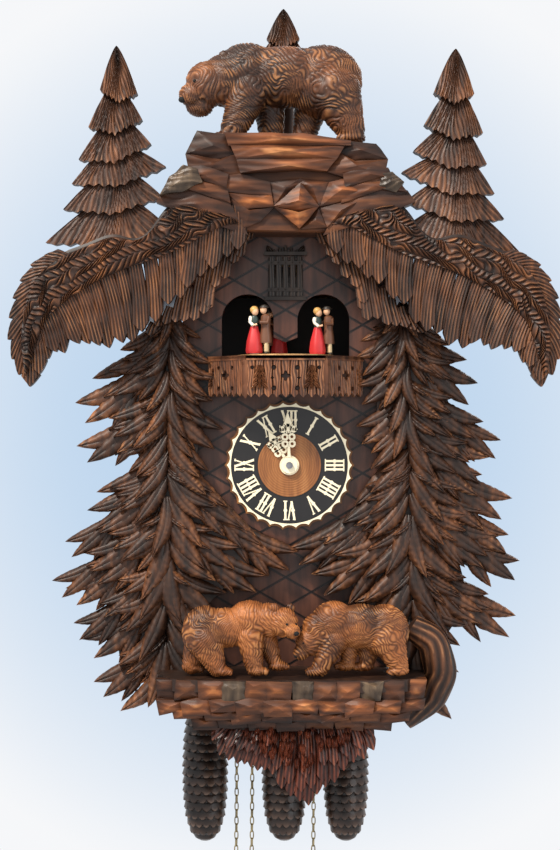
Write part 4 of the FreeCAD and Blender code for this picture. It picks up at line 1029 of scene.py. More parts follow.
def bears():
    make_bear(
        "carved_bear_top", "summit_bear", -1, DARK_BEAR,
        masses=[((0.64, 0.66, 0), (0.36, 0.29, 0.32)), ((0.98, 0.64, 0), (0.52, 0.31, 0.31)),
                ((1.34, 0.60, 0), (0.40, 0.30, 0.37)), ((0.44, 0.60, -0.04), (0.27, 0.24, 0.27)),
                ((0.27, 0.55, -0.10), (0.22, 0.20, 0.24)), ((0.13, 0.45, -0.15), (0.13, 0.12, 0.12)),
                ((0.20, 0.36, -0.10), (0.14, 0.12, 0.11))],
        limbs=[((0.66, 0.50, -0.12), (0.50, 0.10, -0.16), 0.21, 0.125),
               ((0.84, 0.45, 0.12), (0.86, 0.10, 0.12), 0.17, 0.12),
               ((1.44, 0.48, -0.12), (1.60, 0.12, -0.14), 0.27, 0.135),
               ((1.24, 0.42, 0.14), (1.16, 0.10, 0.13), 0.18, 0.12)],
        paws=[(0.44, 0.06, -0.17), (0.82, 0.06, 0.12), (1.60, 0.06, -0.15), (1.12, 0.06, 0.13)],
        ears=[(0.43, 0.80, -0.16), (0.36, 0.80, 0.10)],
        eyes=[(0.16, 0.56, -0.265), (0.09, 0.58, -0.10)], nose=(0.045, 0.40, -0.20), stretch=1.09, tall=1.10)
    make_bear(
        "carved_bear_left", "ledge_bear_left", 1, BEAR,
        masses=[((0.66, 0.72, 0), (0.31, 0.26, 0.27)), ((0.96, 0.62, 0), (0.42, 0.26, 0.27)),
                ((1.22, 0.56, 0), (0.31, 0.27, 0.36)), ((0.42, 0.73, -0.06), (0.24, 0.21, 0.23)),
                ((0.25, 0.71, -0.14), (0.20, 0.18, 0.20)), ((0.14, 0.60, -0.24), (0.11, 0.13, 0.10))],
        limbs=[((0.66, 0.50, -0.12), (0.60, 0.10, -0.14), 0.18, 0.115),
               ((0.46, 0.46, 0.10), (0.36, 0.16, 0.06), 0.15, 0.10),
               ((1.22, 0.46, -0.12), (1.06, 0.10, -0.16), 0.23, 0.12),
               ((1.32, 0.40, 0.12), (1.40, 0.10, 0.10), 0.18, 0.12)],
        paws=[(0.56, 0.06, -0.15), (0.31, 0.10, 0.05), (1.01, 0.06, -0.17), (1.37, 0.06, 0.10)],
        ears=[(0.36, 0.91, -0.20), (0.16, 0.88, 0.02)],
        eyes=[(0.20, 0.70, -0.315), (0.09, 0.69, -0.23)], nose=(0.085, 0.58, -0.345), stretch=1.08)
    make_bear(
        "carved_bear_right", "ledge_bear_right", -1, BEAR,
        masses=[((0.52, 0.68, 0), (0.32, 0.27, 0.30)), ((0.86, 0.64, 0), (0.46, 0.27, 0.30)),
                ((1.16, 0.58, 0), (0.33, 0.27, 0.36)), ((0.33, 0.58, -0.04), (0.24, 0.21, 0.26)),
                ((0.20, 0.43, -0.08), (0.18, 0.17, 0.19)), ((0.10, 0.31, -0.12), (0.105, 0.10, 0.11))],
        limbs=[((0.52, 0.46, -0.12), (0.34, 0.10, -0.16), 0.18, 0.115),
               ((0.72, 0.44, 0.10), (0.70, 0.16, 0.06), 0.15, 0.10),
               ((1.20, 0.46, -0.12), (1.34, 0.11, -0.15), 0.23, 0.12),
               ((0.98, 0.40, 0.12), (0.94, 0.14, 0.10), 0.16, 0.11)],
        paws=[(0.29, 0.06, -0.17), (0.66, 0.10, 0.05), (1.32, 0.06, -0.16), (0.90, 0.09, 0.10)],
        ears=[(0.34, 0.66, -0.22), (0.26, 0.66, 0.06)],
        eyes=[(0.13, 0.44, -0.225), (0.10, 0.46, -0.06)], nose=(0.045, 0.26, -0.14), stretch=1.06)


# ---- Pine-cone weights and chains --------------------------------------------------------------------
def cone(name, node, body):
    """Pine cone: rows of overlapping scales in a diamond spiral on a tapered body."""
    a, b = corners(node)
    hook = 0.013
    top = b[2] - hook
    foot = a[2]
    x, y = (a[0] + b[0]) / 2, (a[1] + b[1]) / 2
    radius = (b[0] - a[0]) / 2 - 0.0008
    rows, columns = 260, 168
    h = np.linspace(0, 1, rows)[:, None]
    angle = np.linspace(0, 2 * math.pi, columns, endpoint=False)[None, :]
    profile = np.interp(h, [0, 0.006, 0.025, 0.07, 0.17, 0.32, 0.5, 0.7, 0.87, 0.97, 1.0],
                        [0.0, 0.20, 0.44, 0.67, 0.87, 0.98, 1.0, 0.95, 0.80, 0.5, 0.0])
    around, tiers = 15, 18
    level = h * tiers
    cell = np.floor(level)
    inside = level - cell
    sideways = angle / (2 * math.pi) * around + 0.5 * (cell % 2)
    across = np.abs(2 * (sideways - np.floor(sideways)) - 1)
    lip = across ** 2 * 0.42
    lifted = np.clip((inside - lip) / (1 - lip + 1e-6), 0, 1)
    under = inside < lip
    scale = np.where(under, 0.45 * (inside / (lip + 1e-6)), (1 - lifted) ** 0.75)
    scale = scale * (1 - 0.35 * across ** 3)
    radial = radius * profile * (0.87 + 0.13 * scale)
    radial[0] = 0.0
    radial[-1] = 0.0
    points = np.stack([x + radial * np.cos(angle), y + radial * np.sin(angle),
                       foot + (top - foot) * h + 0 * angle], -1)
    mesh = Mesh()
    # Stored relief darkens the scale undersides as painted shade and lights the lips as a painted highlight.
    mesh.loft(points, columns, (0.05 + 0.95 * scale).ravel(), capped=False)
    mesh.make(name, CONE, body, [node])
    wire = Mesh()
    link(wire, np.array([x, y, b[2] - 0.0052]), np.array([0, 0, 1.0]), 0.0100, 0.0085, 0.0011, 0.0)
    tube(wire, [(x, y, top - 0.004), (x, y, top + 0.003)], 0.0012)
    wire.make(name + "_hook", STEEL, body)


CONE = wood("cone_iron", rgb(34, 27, 24), rgb(58, 44, 38), rgb(84, 66, 56), relief=1.0,
            pale=rgb(126, 104, 90), rough=0.3,
            grain=(1, 1, 1), scale=50.0)


def tube(mesh, path, radius, sides=8):
    """Round bar along a list of points."""
    path = np.array(path, float)
    points = []
    for index, point in enumerate(path):
        ahead = path[min(index + 1, len(path) - 1)] - path[max(index - 1, 0)]
        ahead /= np.linalg.norm(ahead)
        guide = np.array([0, 1.0, 0]) if abs(ahead[1]) < 0.9 else np.array([1.0, 0, 0])
        first = np.cross(ahead, guide)
        first /= np.linalg.norm(first)
        second = np.cross(ahead, first)
        for side in range(sides):
            angle = 2 * math.pi * side / sides
            points.append(point + radius * (math.cos(angle) * first + math.sin(angle) * second))
    mesh.loft(points, sides)


def link(mesh, centre, along, length, width, wire, turn, sides=6, steps=14):
    """One oval chain link about its centre, its long axis along the chain."""
    along = along / np.linalg.norm(along)
    guide = np.array([0, 1.0, 0]) if abs(along[1]) < 0.9 else np.array([1.0, 0, 0])
    first = np.cross(along, guide)
    first /= np.linalg.norm(first)
    second = np.cross(along, first)
    plane = math.cos(turn) * first + math.sin(turn) * second
    out = np.cross(along, plane)
    half_long, half_wide = length / 2 - wire, width / 2 - wire
    points = []
    for step in range(steps):
        angle = 2 * math.pi * step / steps
        c, s = math.cos(angle), math.sin(angle)
        squared = (abs(c) ** 3 + abs(s) ** 3) ** (-1 / 3)
        spot = centre + along * (half_long * s * squared) + plane * (half_wide * c * squared)
        radial = along * s + plane * c
        for side in range(sides):
            around = 2 * math.pi * side / sides
            points.append(spot + wire * (math.cos(around) * radial + math.sin(around) * out))
    mesh.loft(points, sides, capped=False, looped=True)


LINK_PITCH = 0.0078
LINK_LENGTH = 0.0104
LINK_WIDTH = 0.0052
LINK_WIRE = 0.0007
HANK_LENGTH = 0.116


def chain_along(mesh, path):
    """Links spaced evenly along a line of points, each turned a quarter from the last."""
    path = np.array(path, float)
    steps = np.linalg.norm(np.diff(path, axis=0), axis=1)
    arc = np.concatenate([[0], np.cumsum(steps)])
    count = int(arc[-1] / LINK_PITCH)
    for index in range(count + 1):
        place = index * LINK_PITCH
        spot = np.array([np.interp(place, arc, path[:, k]) for k in range(3)])
        ahead = np.array([np.interp(min(place + 0.002, arc[-1]), arc, path[:, k]) for k in range(3)])
        behind = np.array([np.interp(max(place - 0.002, 0), arc, path[:, k]) for k in range(3)])
        link(mesh, spot, ahead - behind, LINK_LENGTH, LINK_WIDTH, LINK_WIRE,
             math.radians(20 + 90 * (index % 2)))


def hank_path(x, y, top, bottom, wide, deep):
    """Free strand, then its spare length folded up and down in two columns of runs."""
    path = [(x, y, high("free_chain_time")[2]), (x, y, top)]
    runs = 12
    upper, lower = top - 0.006, bottom + 0.006
    for run in range(runs):
        column = run % 2
        spot_x = x + (column - 0.5) * wide * 0.5
        spot_y = y - deep / 2 + 0.004 + (deep - 0.008) * (run + 0.5) / runs
        ends = (upper, lower) if run % 2 == 0 else (lower, upper)
        path += [(spot_x, spot_y, ends[0]), (spot_x, spot_y, ends[1])]
    return path


def spline_points(route):
    """Points read from the NURBS spline that has the route as its control points."""
    curve = bpy.data.curves.new("route", "CURVE")
    curve.dimensions = "3D"
    curve.resolution_u = 16
    spline = curve.splines.new("NURBS")
    spline.points.add(len(route) - 1)
    for point, place in zip(spline.points, route):
        point.co = (*place, 1.0)
    spline.order_u = 3
    spline.use_endpoint_u = True
    holder = bpy.data.objects.new("route", curve)
    line = bpy.data.meshes.new_from_object(holder)
    points = [tuple(vertex.co) for vertex in line.vertices]
    bpy.data.objects.remove(holder)
    bpy.data.meshes.remove(line)
    return points


def chains():
    for chain in ("time", "strike", "music"):
        cone("pine_cone_" + chain, "cone_weight_" + chain, "weight_" + chain)
        a, b = corners("loaded_chain_" + chain)
        x, y = (a[0] + b[0]) / 2, (a[1] + b[1]) / 2
        mesh = Mesh()
        chain_along(mesh, [(x, y, b[2] - 0.005), (x, y, a[2])])
        mesh.make("links_loaded_" + chain, CHAIN, "weight_" + chain, ["loaded_chain_" + chain])
        a, b = corners("free_chain_" + chain)
        x, y = (a[0] + b[0]) / 2, (a[1] + b[1]) / 2
        strand_end = a[2] + HANK_LENGTH
        path = spline_points(hank_path(x, y, strand_end, a[2], b[0] - a[0], b[1] - a[1]))
        mesh = Mesh()
        chain_along(mesh, path)
        piece = mesh.make("links_free_" + chain, CHAIN, "free_" + chain, ["free_chain_" + chain])
        tie = Mesh()
        half_x, half_y = (b[0] - a[0]) / 2 - 0.0004, (b[1] - a[1]) / 2 - 0.0004
        middle = (strand_end + a[2]) / 2
        ring = [(x + half_x * math.copysign(abs(math.cos(t)) ** 0.5, math.cos(t)),
                 y + half_y * math.copysign(abs(math.sin(t)) ** 0.5, math.sin(t)), middle)
                for t in np.linspace(0, 2 * math.pi, 33)]
        tube(tie, ring, 0.0009)
        tied = tie.make("hank_tie_" + chain, STEEL, "free_" + chain)


# ---- Dial, hands, numerals ----------------------------------------------------------------------------
def bar(x0, z0, x1, z1, w0, w1=None):
    w1 = w0 if w1 is None else w1
    dx, dz = x1 - x0, z1 - z0
    length = math.hypot(dx, dz)
    nx, nz = -dz / length, dx / length
    return [(x0 + nx * w0 / 2, z0 + nz * w0 / 2), (x0 - nx * w0 / 2, z0 - nz * w0 / 2),
            (x1 - nx * w1 / 2, z1 - nz * w1 / 2),
            (x1 + nx * w1 / 2, z1 + nz * w1 / 2)]


def round_dot(x, z, r, count=12):
    return [(x + r * math.cos(2 * math.pi * i / count), z + r * math.sin(2 * math.pi * i / count))
            for i in range(count)]


def numeral_shapes(text):
    """Carved Roman numeral about its centre, with bulbs at the middle of each heavy stroke."""
    widths = {"I": 4.3, "V": 8.4, "X": 8.4}
    total = sum(widths[letter] for letter in text)
    cursor = -total / 2
    half = 9.6
    shapes = []
    for letter in text:
        middle = cursor + widths[letter] / 2
        if letter == "I":
            shapes += [bar(middle, -half, middle, half, 2.3), round_dot(middle, 0, 2.0),
                       bar(middle - 2.1, -half, middle + 2.1, -half, 1.3),
                       bar(middle - 2.1, half, middle + 2.1, half, 1.3)]
        elif letter == "V":
            shapes += [bar(middle, -half, middle - 3.2, half, 2.4),
                       bar(middle, -half, middle + 3.2, half, 1.3),
                       round_dot(middle - 1.6, 0, 2.0), bar(middle - 4.6, half, middle - 1.6, half, 1.3),
                       bar(middle + 1.8, half, middle + 4.6, half, 1.3)]
        else:
            shapes += [bar(middle + 3.2, -half, middle - 3.2, half, 2.4),
                       bar(middle - 3.2, -half, middle + 3.2, half, 1.3),
                       round_dot(middle, 0, 2.1)]
            for end in (-half, half):
                shapes += [bar(middle - 4.6, end, middle - 1.8, end, 1.3),
                           bar(middle + 1.8, end, middle + 4.6, end, 1.3)]
        cursor += widths[letter]
    return shapes


def numerals():
    mesh = Mesh()
    front, back = low("dial_numerals")[1], high("dial_numerals")[1]
    names = ["XII", "I", "II", "III", "IIII", "V", "VI", "VII", "VIII", "IX", "X", "XI"]
    for hour, text in enumerate(names):
        turn = math.radians(30 * hour)
        c, s = math.cos(turn), math.sin(turn)
        for level, shape in enumerate(numeral_shapes(text)):
            placed = [(DIAL[0] + x * MM * c + (z * MM + NUMERAL_RADIUS) * s,
                       DIAL[2] - x * MM * s + (z * MM + NUMERAL_RADIUS) * c) for x, z in shape]
            # Crossing strokes step back by a hair, so that no two faces lie in one plane.
            prism(mesh, placed, front + 0.00002 * (level % 7), back, 0.7, 0.0002)
    mesh.make("roman_numerals", CREAM, "case", ["dial_numerals"], smooth=False)


def pierced_hand(name, node, body, length, turn_deg, hub):
    """Carved hand: hub ring, stem, four-lobed piercing, scrolled shoulders and a pointed tip."""
    front, back = low(node)[1], high(node)[1]
    if node == "hour_hand":
        back = front + HOUR_HAND_THICKNESS
    turn = math.radians(turn_deg)
    c, s = math.cos(turn), math.sin(turn)
    mesh = Mesh()

    def place(x, z):
        return (DIAL[0] + x * MM * c + z * MM * s, DIAL[2] - x * MM * s + z * MM * c)

    def ring(x, z, outer, inner, count=20):
        for i in range(count):
            a0, a1 = 2 * math.pi * i / count, 2 * math.pi * (i + 1) / count
            ends = ((inner, a0), (outer, a0), (outer, a1), (inner, a1))
            quad = [(x + r * math.cos(a), z + r * math.sin(a)) for r, a in ends]
            prism(mesh, [place(*p) for p in quad], front, back, 0.7, 0.0)

    def plate(shape):
        prism(mesh, [place(*p) for p in shape], front, back, 0.7, 0.0002)

    ring(0, 0, hub, 2.3, 28)
    plate(bar(0, hub - 0.6, 0, 0.36 * length, 3.4, 2.6))
    for share in (0.40, 0.53):
        ring(-3.6, share * length, 3.9, 1.6)
        ring(3.6, share * length, 3.9, 1.6)
    for side in (-1, 1):
        ring(side * 5.4, 0.67 * length, 3.6, 1.5)
        plate(bar(side * 7.6, 0.63 * length, side * 8.6, 0.75 * length, 2.2, 0.7))
        plate(bar(side * 1.2, 0.60 * length, side * 4.5, 0.76 * length, 2.0, 1.2))
    plate(bar(0, 0.60 * length, 0, 0.78 * length, 2.6, 3.6))
    plate([(-4.2, 0.78 * length), (0, 0.70 * length), (4.2, 0.78 * length), (1.8, 0.90 * length),
           (0, length), (-1.8, 0.90 * length)])
    mesh.make(name, CREAM, body, [node], smooth=False)


def dial():
    numerals()
    pierced_hand("carved_hour_hand", "hour_hand", "hour_works", 42.0, -32.0, 10.2)
    pierced_hand("carved_minute_hand", "minute_hand", "minute_works", 56.0, -2.0, 8.4)
    pipe = Mesh()
    y_hour = low("hour_hand")[1]
    tube(pipe, [(DIAL[0], high("hour_hand")[1], DIAL[2]), (DIAL[0], y_hour + 0.0006, DIAL[2])], 0.0036, 20)
    pipe.make("hour_pipe", BRASS, "hour_works")


# ---- Balcony and cuckoo door ---------------------------------------------------------------------------
def railing_panel(mesh, start, end, z_low, z_high, thick, boards, holes):
    """Upright boards side by side from start to end in plan: grooved, bored and pointed at the foot."""
    start, end = np.array(start, float), np.array(end, float)
    span = end - start
    length = np.hypot(*span)
    along = span / length
    out = np.array([along[1], -along[0]])
    columns, rows = int(length / 0.00042), 112
    s = np.linspace(0, 1, columns)[None, :]
    t = np.linspace(0, 1, rows)[:, None]
    board = ridge(s * boards)
    fine = ridge(s * boards * 3 + 0.25 * np.sin(t * 9 + s * 30)) ** 0.7
    z = z_high + (z_low + 0.0048 * (1 - board) - z_high) * t
    bored = 0 * (s + t)
    for middle, down, radius, lobes in holes:
        dx, dz = (s - 0.5) * length - middle * MM, z - (z_high - down * MM)
        angle = np.arctan2(dz, dx)
        rim = radius * MM * (1 + 0.26 * lobes * np.cos(4 * angle))
        bored = np.maximum(bored, np.clip((rim - np.hypot(dx, dz)) / 0.0005, 0, 1))
    depth = thick * (0.72 + 0.28 * np.clip(board * 5, 0, 1)) + 0.0006 * fine
    depth = depth * (1 - bored) + 0.0006 * bored
    plan = start + (s * length)[..., None] * along + depth[..., None] * out
    points = np.stack([plan[..., 0], plan[..., 1], z + 0 * s], -1)
    # Stored relief darkens the fine grooves and the board joints, and paints the shallow bored pockets and the
    # back near black, as painted shade.
    relief = np.clip(board * 5, 0, 1) * (0.25 + 0.75 * fine) * (1 - bored)
    back = points.copy()
    back[..., :2] = start + (s * length)[..., None] * along
    index = np.arange(rows * columns).reshape(rows, columns)
    quads = np.stack([index[:-1, :-1], index[1:, :-1], index[1:, 1:], index[:-1, 1:]], -1).reshape(-1, 4)
    rim = rim_of(index)
    shift = rows * columns
    following = np.roll(rim, -1)
    faces = quads.tolist() + (quads[:, ::-1] + shift).tolist()
    faces += np.stack([rim, rim + shift, following + shift, following], -1).tolist()
    mesh.solid(np.concatenate([points.reshape(-1, 3), back.reshape(-1, 3)]), faces,
               np.concatenate([relief.ravel(), np.zeros(shift)]))


def balcony():
    a, b = corners("balcony_railing")
    top, foot = b[2], a[2]
    front = a[1] + 0.002
    half, bay = b[0] - 0.002, 0.040
    side_y = FACADE_Y - 0.016
    panel_top = top - 0.0045
    mesh = Mesh()
    centre_holes = [(0, 16.5, 4.2, 1)]
    side_holes = [(0, 15.5, 4.4, 1)]
    for down in (8.0, 29.0):
        centre_holes += [(-12.0, down, 2.5, 0), (12.0, down, 2.5, 0)]
        side_holes += [(-10.5, down, 2.3, 0), (10.5, down, 2.3, 0)]
    centre_holes += [(-13.5, 18.5, 1.5, 0.6), (13.5, 18.5, 1.5, 0.6), (-34.0, 8.0, 2.0, 0),
                     (34.0, 8.0, 2.0, 0)]
    railing_panel(mesh, (-bay, front + 0.0035), (bay, front + 0.0035), foot, panel_top, 0.0035, 9,
                  centre_holes)
    railing_panel(mesh, (-half + 0.002, side_y + 0.0025), (-bay - 0.0015, front + 0.005), foot + 0.001,
                  panel_top, 0.0032,
                  6, side_holes)
    railing_panel(mesh, (bay + 0.0015, front + 0.005), (half - 0.002, side_y + 0.0025), foot + 0.001,
                  panel_top, 0.0032, 6,
                  side_holes)
    for side in (-1, 1):
        inner, outer = sorted((side * (half - 0.003), side * half))
        mesh.box((inner, side_y, foot + 0.002), (outer, FACADE_Y, panel_top), 0.5)
    mesh.make("balcony_boards", BALCONY, "case", ["balcony_railing"])
    trim = Mesh()
    rail = [(-half, FACADE_Y), (-half, side_y), (-bay, front), (bay, front), (half, side_y), (half, FACADE_Y)]
    rand = np.random.default_rng(5)
    for (x0, y0), (x1, y1) in zip(rail[:-1], rail[1:]):
        run = np.array([x1 - x0, y1 - y0])
        length = np.hypot(*run)
        normal = np.array([-run[1], run[0]]) / length
        pieces = max(2, int(length / 0.006))
        for shift, low_z, high_z, wide in ((0.0, top - 0.0050, top - 0.0002, 0.0030),
                                           (0.0006, top - 0.0032, top, 0.0040)):
            rings = []
            for step in range(pieces + 1):
                spot = np.array([x0, y0]) + run * step / pieces
                edge = wide * (1 + 0.14 * rand.uniform(-1, 1))
                drop = rand.uniform(0, 0.0006)
                inner, outer = spot - normal * 0.0015, spot + normal * edge
                rings.append([(*inner, low_z), (*outer, low_z + drop), (*outer, high_z - 0.0012),
                              (*(outer - normal * 0.001),
                              high_z - drop), (*inner, high_z)])
            size = len(rings[0])
            trim.loft(rings, size, rand.uniform(0.45, 0.95, len(rings) * size))
    for side in (-1, 1):
        x = side * (bay + 0.0010)
        turned(trim, (x, front + 0.0012, foot),
               [(0.0004, -0.001), (0.0030, 0.003), (0.0034, 0.010), (0.0026, 0.013),
                                               (0.0036, 0.016), (0.0036, 0.030), (0.0026, 0.033),
                                               (0.0036, 0.036),
                                               (0.0030, 0.0385)], 0.10, 0.7)
    trim.make("balcony_rail", BALCONY, "case", angle=25.0)
    firs = Mesh()
    for side in (-1, 1):
        small_fir(firs, side * 0.0265, top - 0.0095, front - 0.0002, 0.026)
    for side in (-1, 1):
        small_fir(firs, side * 0.0735, top - 0.0110, side_y - 0.0030, 0.022)
    firs.make("balcony_firs", BALCONY, "case")


def small_fir(mesh, x, z, y_back, tall):
    """Little applied fir of four drooping tiers."""
    for tier in range(4):
        level = z - tall * (0.02 + 0.22 * tier)
        wide = tall * (0.13 + 0.065 * tier)
        for side in (-1, 1):
            leaf(mesh, (x, level), (x + side * wide, level - tall * 0.27), tall * 0.085, y_back, 0.0008,
                 0.0026 - 0.0002 * tier, 3, rows=10, columns=7, cut=0.0004, bend=side * 0.08)
        leaf(mesh, (x, level), (x, level - tall * 0.30), tall * 0.06, y_back, 0.0012, 0.0030, 3, rows=10,
             columns=7,
             cut=0.0004)


def cuckoo_door():
    a, b = corners("cuckoo_door")
    mesh = Mesh()
    slats = 5
    wide = (b[0] - a[0]) / slats
    for index in range(slats):
        feather(mesh, (a[0] + (index + 0.5) * wide, b[2] - 0.0004),
                (a[0] + (index + 0.5) * wide, a[2] + 0.0002),
                wide * 0.49, b[1], 0.0030, 0.0030, 2, 16, 0.0, 0.0, 0.0006)
    for z in (a[2] + 0.007, b[2] - 0.007):
        mesh.box((a[0] + 0.0003, a[1], z - 0.0020), (b[0] - 0.0003, a[1] + 0.0012, z + 0.0020), 0.6)
        for index in range(slats):
            ball(mesh, (a[0] + (index + 0.5) * wide, a[1] + 0.0002, z), 0.0009, rings=5)
    mesh.make("door_slats", SLATS, "cuckoo_door", ["cuckoo_door"])


def door_crest():
    """Cut-out crest over the cuckoo door: stepped pickets between two scrolled shoulders."""
    a, b = corners("cuckoo_door_frame")
    door = high("cuckoo_door")
    mesh = Mesh()
    top = door[2] + 0.0006
    mesh.box((a[0], FACADE_Y - 0.0085, top), (b[0], FACADE_Y, top + 0.0036), 0.5)
    mesh.box((a[0] + 0.001, FACADE_Y - 0.0065, a[2]),
             (b[0] - 0.001, FACADE_Y, low("cuckoo_door")[2] - 0.0005), 0.5)
    for index, tall in enumerate((0.0035, 0.0060, 0.0080, 0.0060, 0.0035)):
        x = (index - 2) * 0.0060
        feather(mesh, (x, top + 0.0030), (x, top + 0.0034 + tall), 0.0021, FACADE_Y, 0.005, 0.0045, 2, 10, 0,
                0.9, 0.0005)
    for side in (-1, 1):
        leaf(mesh, (side * 0.0135, top + 0.0035), (side * 0.0195, top + 0.0105), 0.0030, FACADE_Y, 0.004,
             0.0055, 3,
             bend=side * -0.12, rows=14, columns=9, cut=0.0005)
    mesh.make("door_crest", SLATS, "case", ["cuckoo_door_frame"], angle=30.0)


# ---- Dancers and bird ----------------------------------------------------------------------------------
SKIN = paint("skin_paint", rgb(226, 178, 140))
WHITE = paint("white_paint", rgb(238, 230, 214))
RED = paint("red_paint", rgb(196, 44, 46))
TEAL = paint("teal_paint", rgb(38, 58, 54))
BROWN = paint("coat_paint", rgb(104, 66, 44))
TROUSER = paint("cream_paint", rgb(206, 184, 142))
HAT = paint("hat_paint", rgb(46, 40, 34))
HAIR = paint("fair_hair", rgb(206, 160, 92))


def turned(mesh, centre, profile, twist=0.0, flat=1.0, heading=0.0, sides=20):
    """Turned or carved round body: (radius, height) pairs about a vertical axis, flattened front to back."""
    points = []
    for radius, z in profile:
        for side in range(sides):
            angle = 2 * math.pi * side / sides
            wave = 1 + twist * math.cos(angle * 6)
            px, py = radius * wave * math.cos(angle), radius * wave * math.sin(angle) * flat
            points.append((centre[0] + px * math.cos(heading) - py * math.sin(heading),
                           centre[1] + px * math.sin(heading) + py * math.cos(heading), centre[2] + z))
    mesh.loft(points, sides)


def couple(meshes, centre, heading, foot):
    """Dancing pair: the woman in a swinging skirt, the man leaning to her with an arm around."""
    ax, ay = math.cos(heading), math.sin(heading)

    def at(along, across, z):
        return np.array([centre[0] + ax * along - ay * across, centre[1] + ay * along + ax * across,
                         foot + z])

    woman = at(-0.0058, 0, 0)
    man = at(0.0062, 0, 0)
    turned(meshes[RED], woman, [(0.0078, 0.001), (0.0086, 0.004), (0.0075, 0.014), (0.0055, 0.022),
                                (0.0036, 0.029)],
           0.06, 0.9, heading)
    turned(meshes[WHITE], woman, [(0.0050, 0.0), (0.0046, 0.003)], 0.0, 0.9, heading)
    turned(meshes[TEAL], woman, [(0.0034, 0.028), (0.0042, 0.033), (0.0044, 0.037), (0.003, 0.040)], 0, 0.8,
           heading)
    ball(meshes[SKIN], at(-0.0048, -0.0004, 0.0445), 0.0040, (0.9, 0.9, 1.1))
    ball(meshes[HAIR], at(-0.0058, 0.0006, 0.0462), 0.0044, (1, 1, 0.95))
    ball(meshes[WHITE], at(-0.0094, -0.0012, 0.0365), 0.0026, (0.9, 1, 1.3))
    tube(meshes[WHITE], [at(-0.0092, -0.001, 0.0385), at(-0.0098, -0.003, 0.0335),
                         at(-0.0060, -0.0052, 0.0300)], 0.0017)
    tube(meshes[SKIN], [at(-0.0062, -0.0052, 0.0300), at(-0.0018, -0.0056, 0.0310)], 0.0011)
    for across in (-0.0022, 0.0024):
        tube(meshes[TROUSER], [at(0.0072, across, 0.003), at(0.0068, across, 0.020)], 0.0022)
        ball(meshes[HAT], at(0.0074, across - 0.001, 0.0014), 0.0024, (1.1, 1.4, 0.6))
    turned(meshes[BROWN], man, [(0.0062, 0.012), (0.0058, 0.020), (0.0044, 0.028), (0.0050, 0.036),
                                (0.0046, 0.040),
                                (0.002, 0.042)], 0.03, 0.78, heading)
    ball(meshes[SKIN], at(0.0040, -0.0006, 0.0462), 0.0039, (0.9, 0.9, 1.1))
    ball(meshes[HAT], at(0.0046, 0.0002, 0.0492), 0.0042, (1, 1, 0.6))
    turned(meshes[HAT], at(0.0046, 0.0002, 0.0484), [(0.0056, 0), (0.0054, 0.0008)], 0, 1.0)
    tube(meshes[BROWN], [at(0.0098, -0.001, 0.0385), at(0.0086, -0.0052, 0.0325),
                         at(0.0010, -0.0062, 0.0330)], 0.0018)
    tube(meshes[BROWN], [at(0.0078, 0.0035, 0.0385), at(0.0020, 0.0058, 0.0350),
                         at(-0.0040, 0.0046, 0.0340)], 0.0018)


def dancers():
    cx, cy = ((low("turntable") + high("turntable")) / 2)[:2]
    foot = high("turntable")[2]
    meshes = {material: Mesh() for material in (SKIN, WHITE, RED, TEAL, BROWN, TROUSER, HAT, HAIR)}
    for step, heading in enumerate((-0.15, 0.25, math.pi)):
        angle = math.radians(FIRST_COUPLE_DEG + COUPLE_STEP_DEG * step)
        spot = (cx + COUPLE_CIRCLE * math.sin(angle), cy - COUPLE_CIRCLE * math.cos(angle))
        couple(meshes, spot, heading, foot)
    for index, (material, mesh) in enumerate(meshes.items()):
        mesh.make("dancers_" + material.name, material, "turntable", ["dancer_couples"] if index == 0 else ())


def bird():
    a, b = corners("cuckoo_bird")
    y_nose = a[1]
    z = -0.013
    grey = paint("bird_grey", rgb(92, 104, 118))
    body = Mesh()
    ball(body, (0, y_nose + 0.021, z), 0.0082, (0.95, 1.55, 1.0), 14)
    ball(body, (0, y_nose + 0.0105, z + 0.005), 0.0062, (1, 1, 1), 12)
    for side in (-1, 1):
        ball(body, (side * 0.0070, y_nose + 0.024, z + 0.001), 0.0055, (0.35, 1.9, 0.8), 10)
    tube(body, [(0, y_nose + 0.030, z), (0, b[1] - 0.002, z + 0.002)], 0.0022)
    body.make("bird_body", grey, "cuckoo", ["cuckoo_bird"])
    beak = Mesh()
    turned(beak, (0, 0, 0), [(0.0018, 0), (0.0012, 0.003), (0.0002, 0.006)])
    beak.points[0] = np.stack([beak.points[0][:, 0], y_nose + 0.0062 - beak.points[0][:, 2], z + 0.0045
                               + beak.points[0][:, 1]], -1)
    beak.make("bird_beak", paint("beak_yellow", rgb(214, 150, 50)), "cuckoo")
    carriage = Mesh()
    carriage.box((-0.004, y_nose + 0.017, z - 0.0165), (0.004, y_nose + 0.034, z - 0.005))
    carriage.make("bird_carriage", RAW, "cuckoo", smooth=False)


# ---- Materials of the pieces that keep their own shape ------------------------------------------------
def dress_cad():
    finish = {
        FACE: ["front_panel"],
        PANEL: ["case_side_left", "case_side_right", "roof_board_left", "roof_board_right"],
        RAW: ["case_floor", "back_panel", "inner_supports", "bellows_boxes", "bellows_tops", "back_door",
              "turntable"],
        BALCONY: ["balcony_floor"],
        CREAM: ["dial_cream_ring"],
        BLACK: ["dial_black_ring"],
        DIAL_WOOD: ["dial_centre"],
        DIAL_RIM: ["dial_base"],
        BRASS: ["hanger_plate", "movement_frame", "music_drum", "chain_wheel_time", "chain_wheel_strike",
                "chain_wheel_music"],
        STEEL: ["gong", "music_comb", "centre_arbor", "gong_hammer", "night_lever", "pendulum_leader"],
        CARVED: ["pendulum_bob"],
    }
    for material, names in finish.items():
        for name in names:
            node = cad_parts[name]
            if not node.material_slots:
                node.data.materials.append(material)
            for material_slot in node.material_slots:
                material_slot.material = material


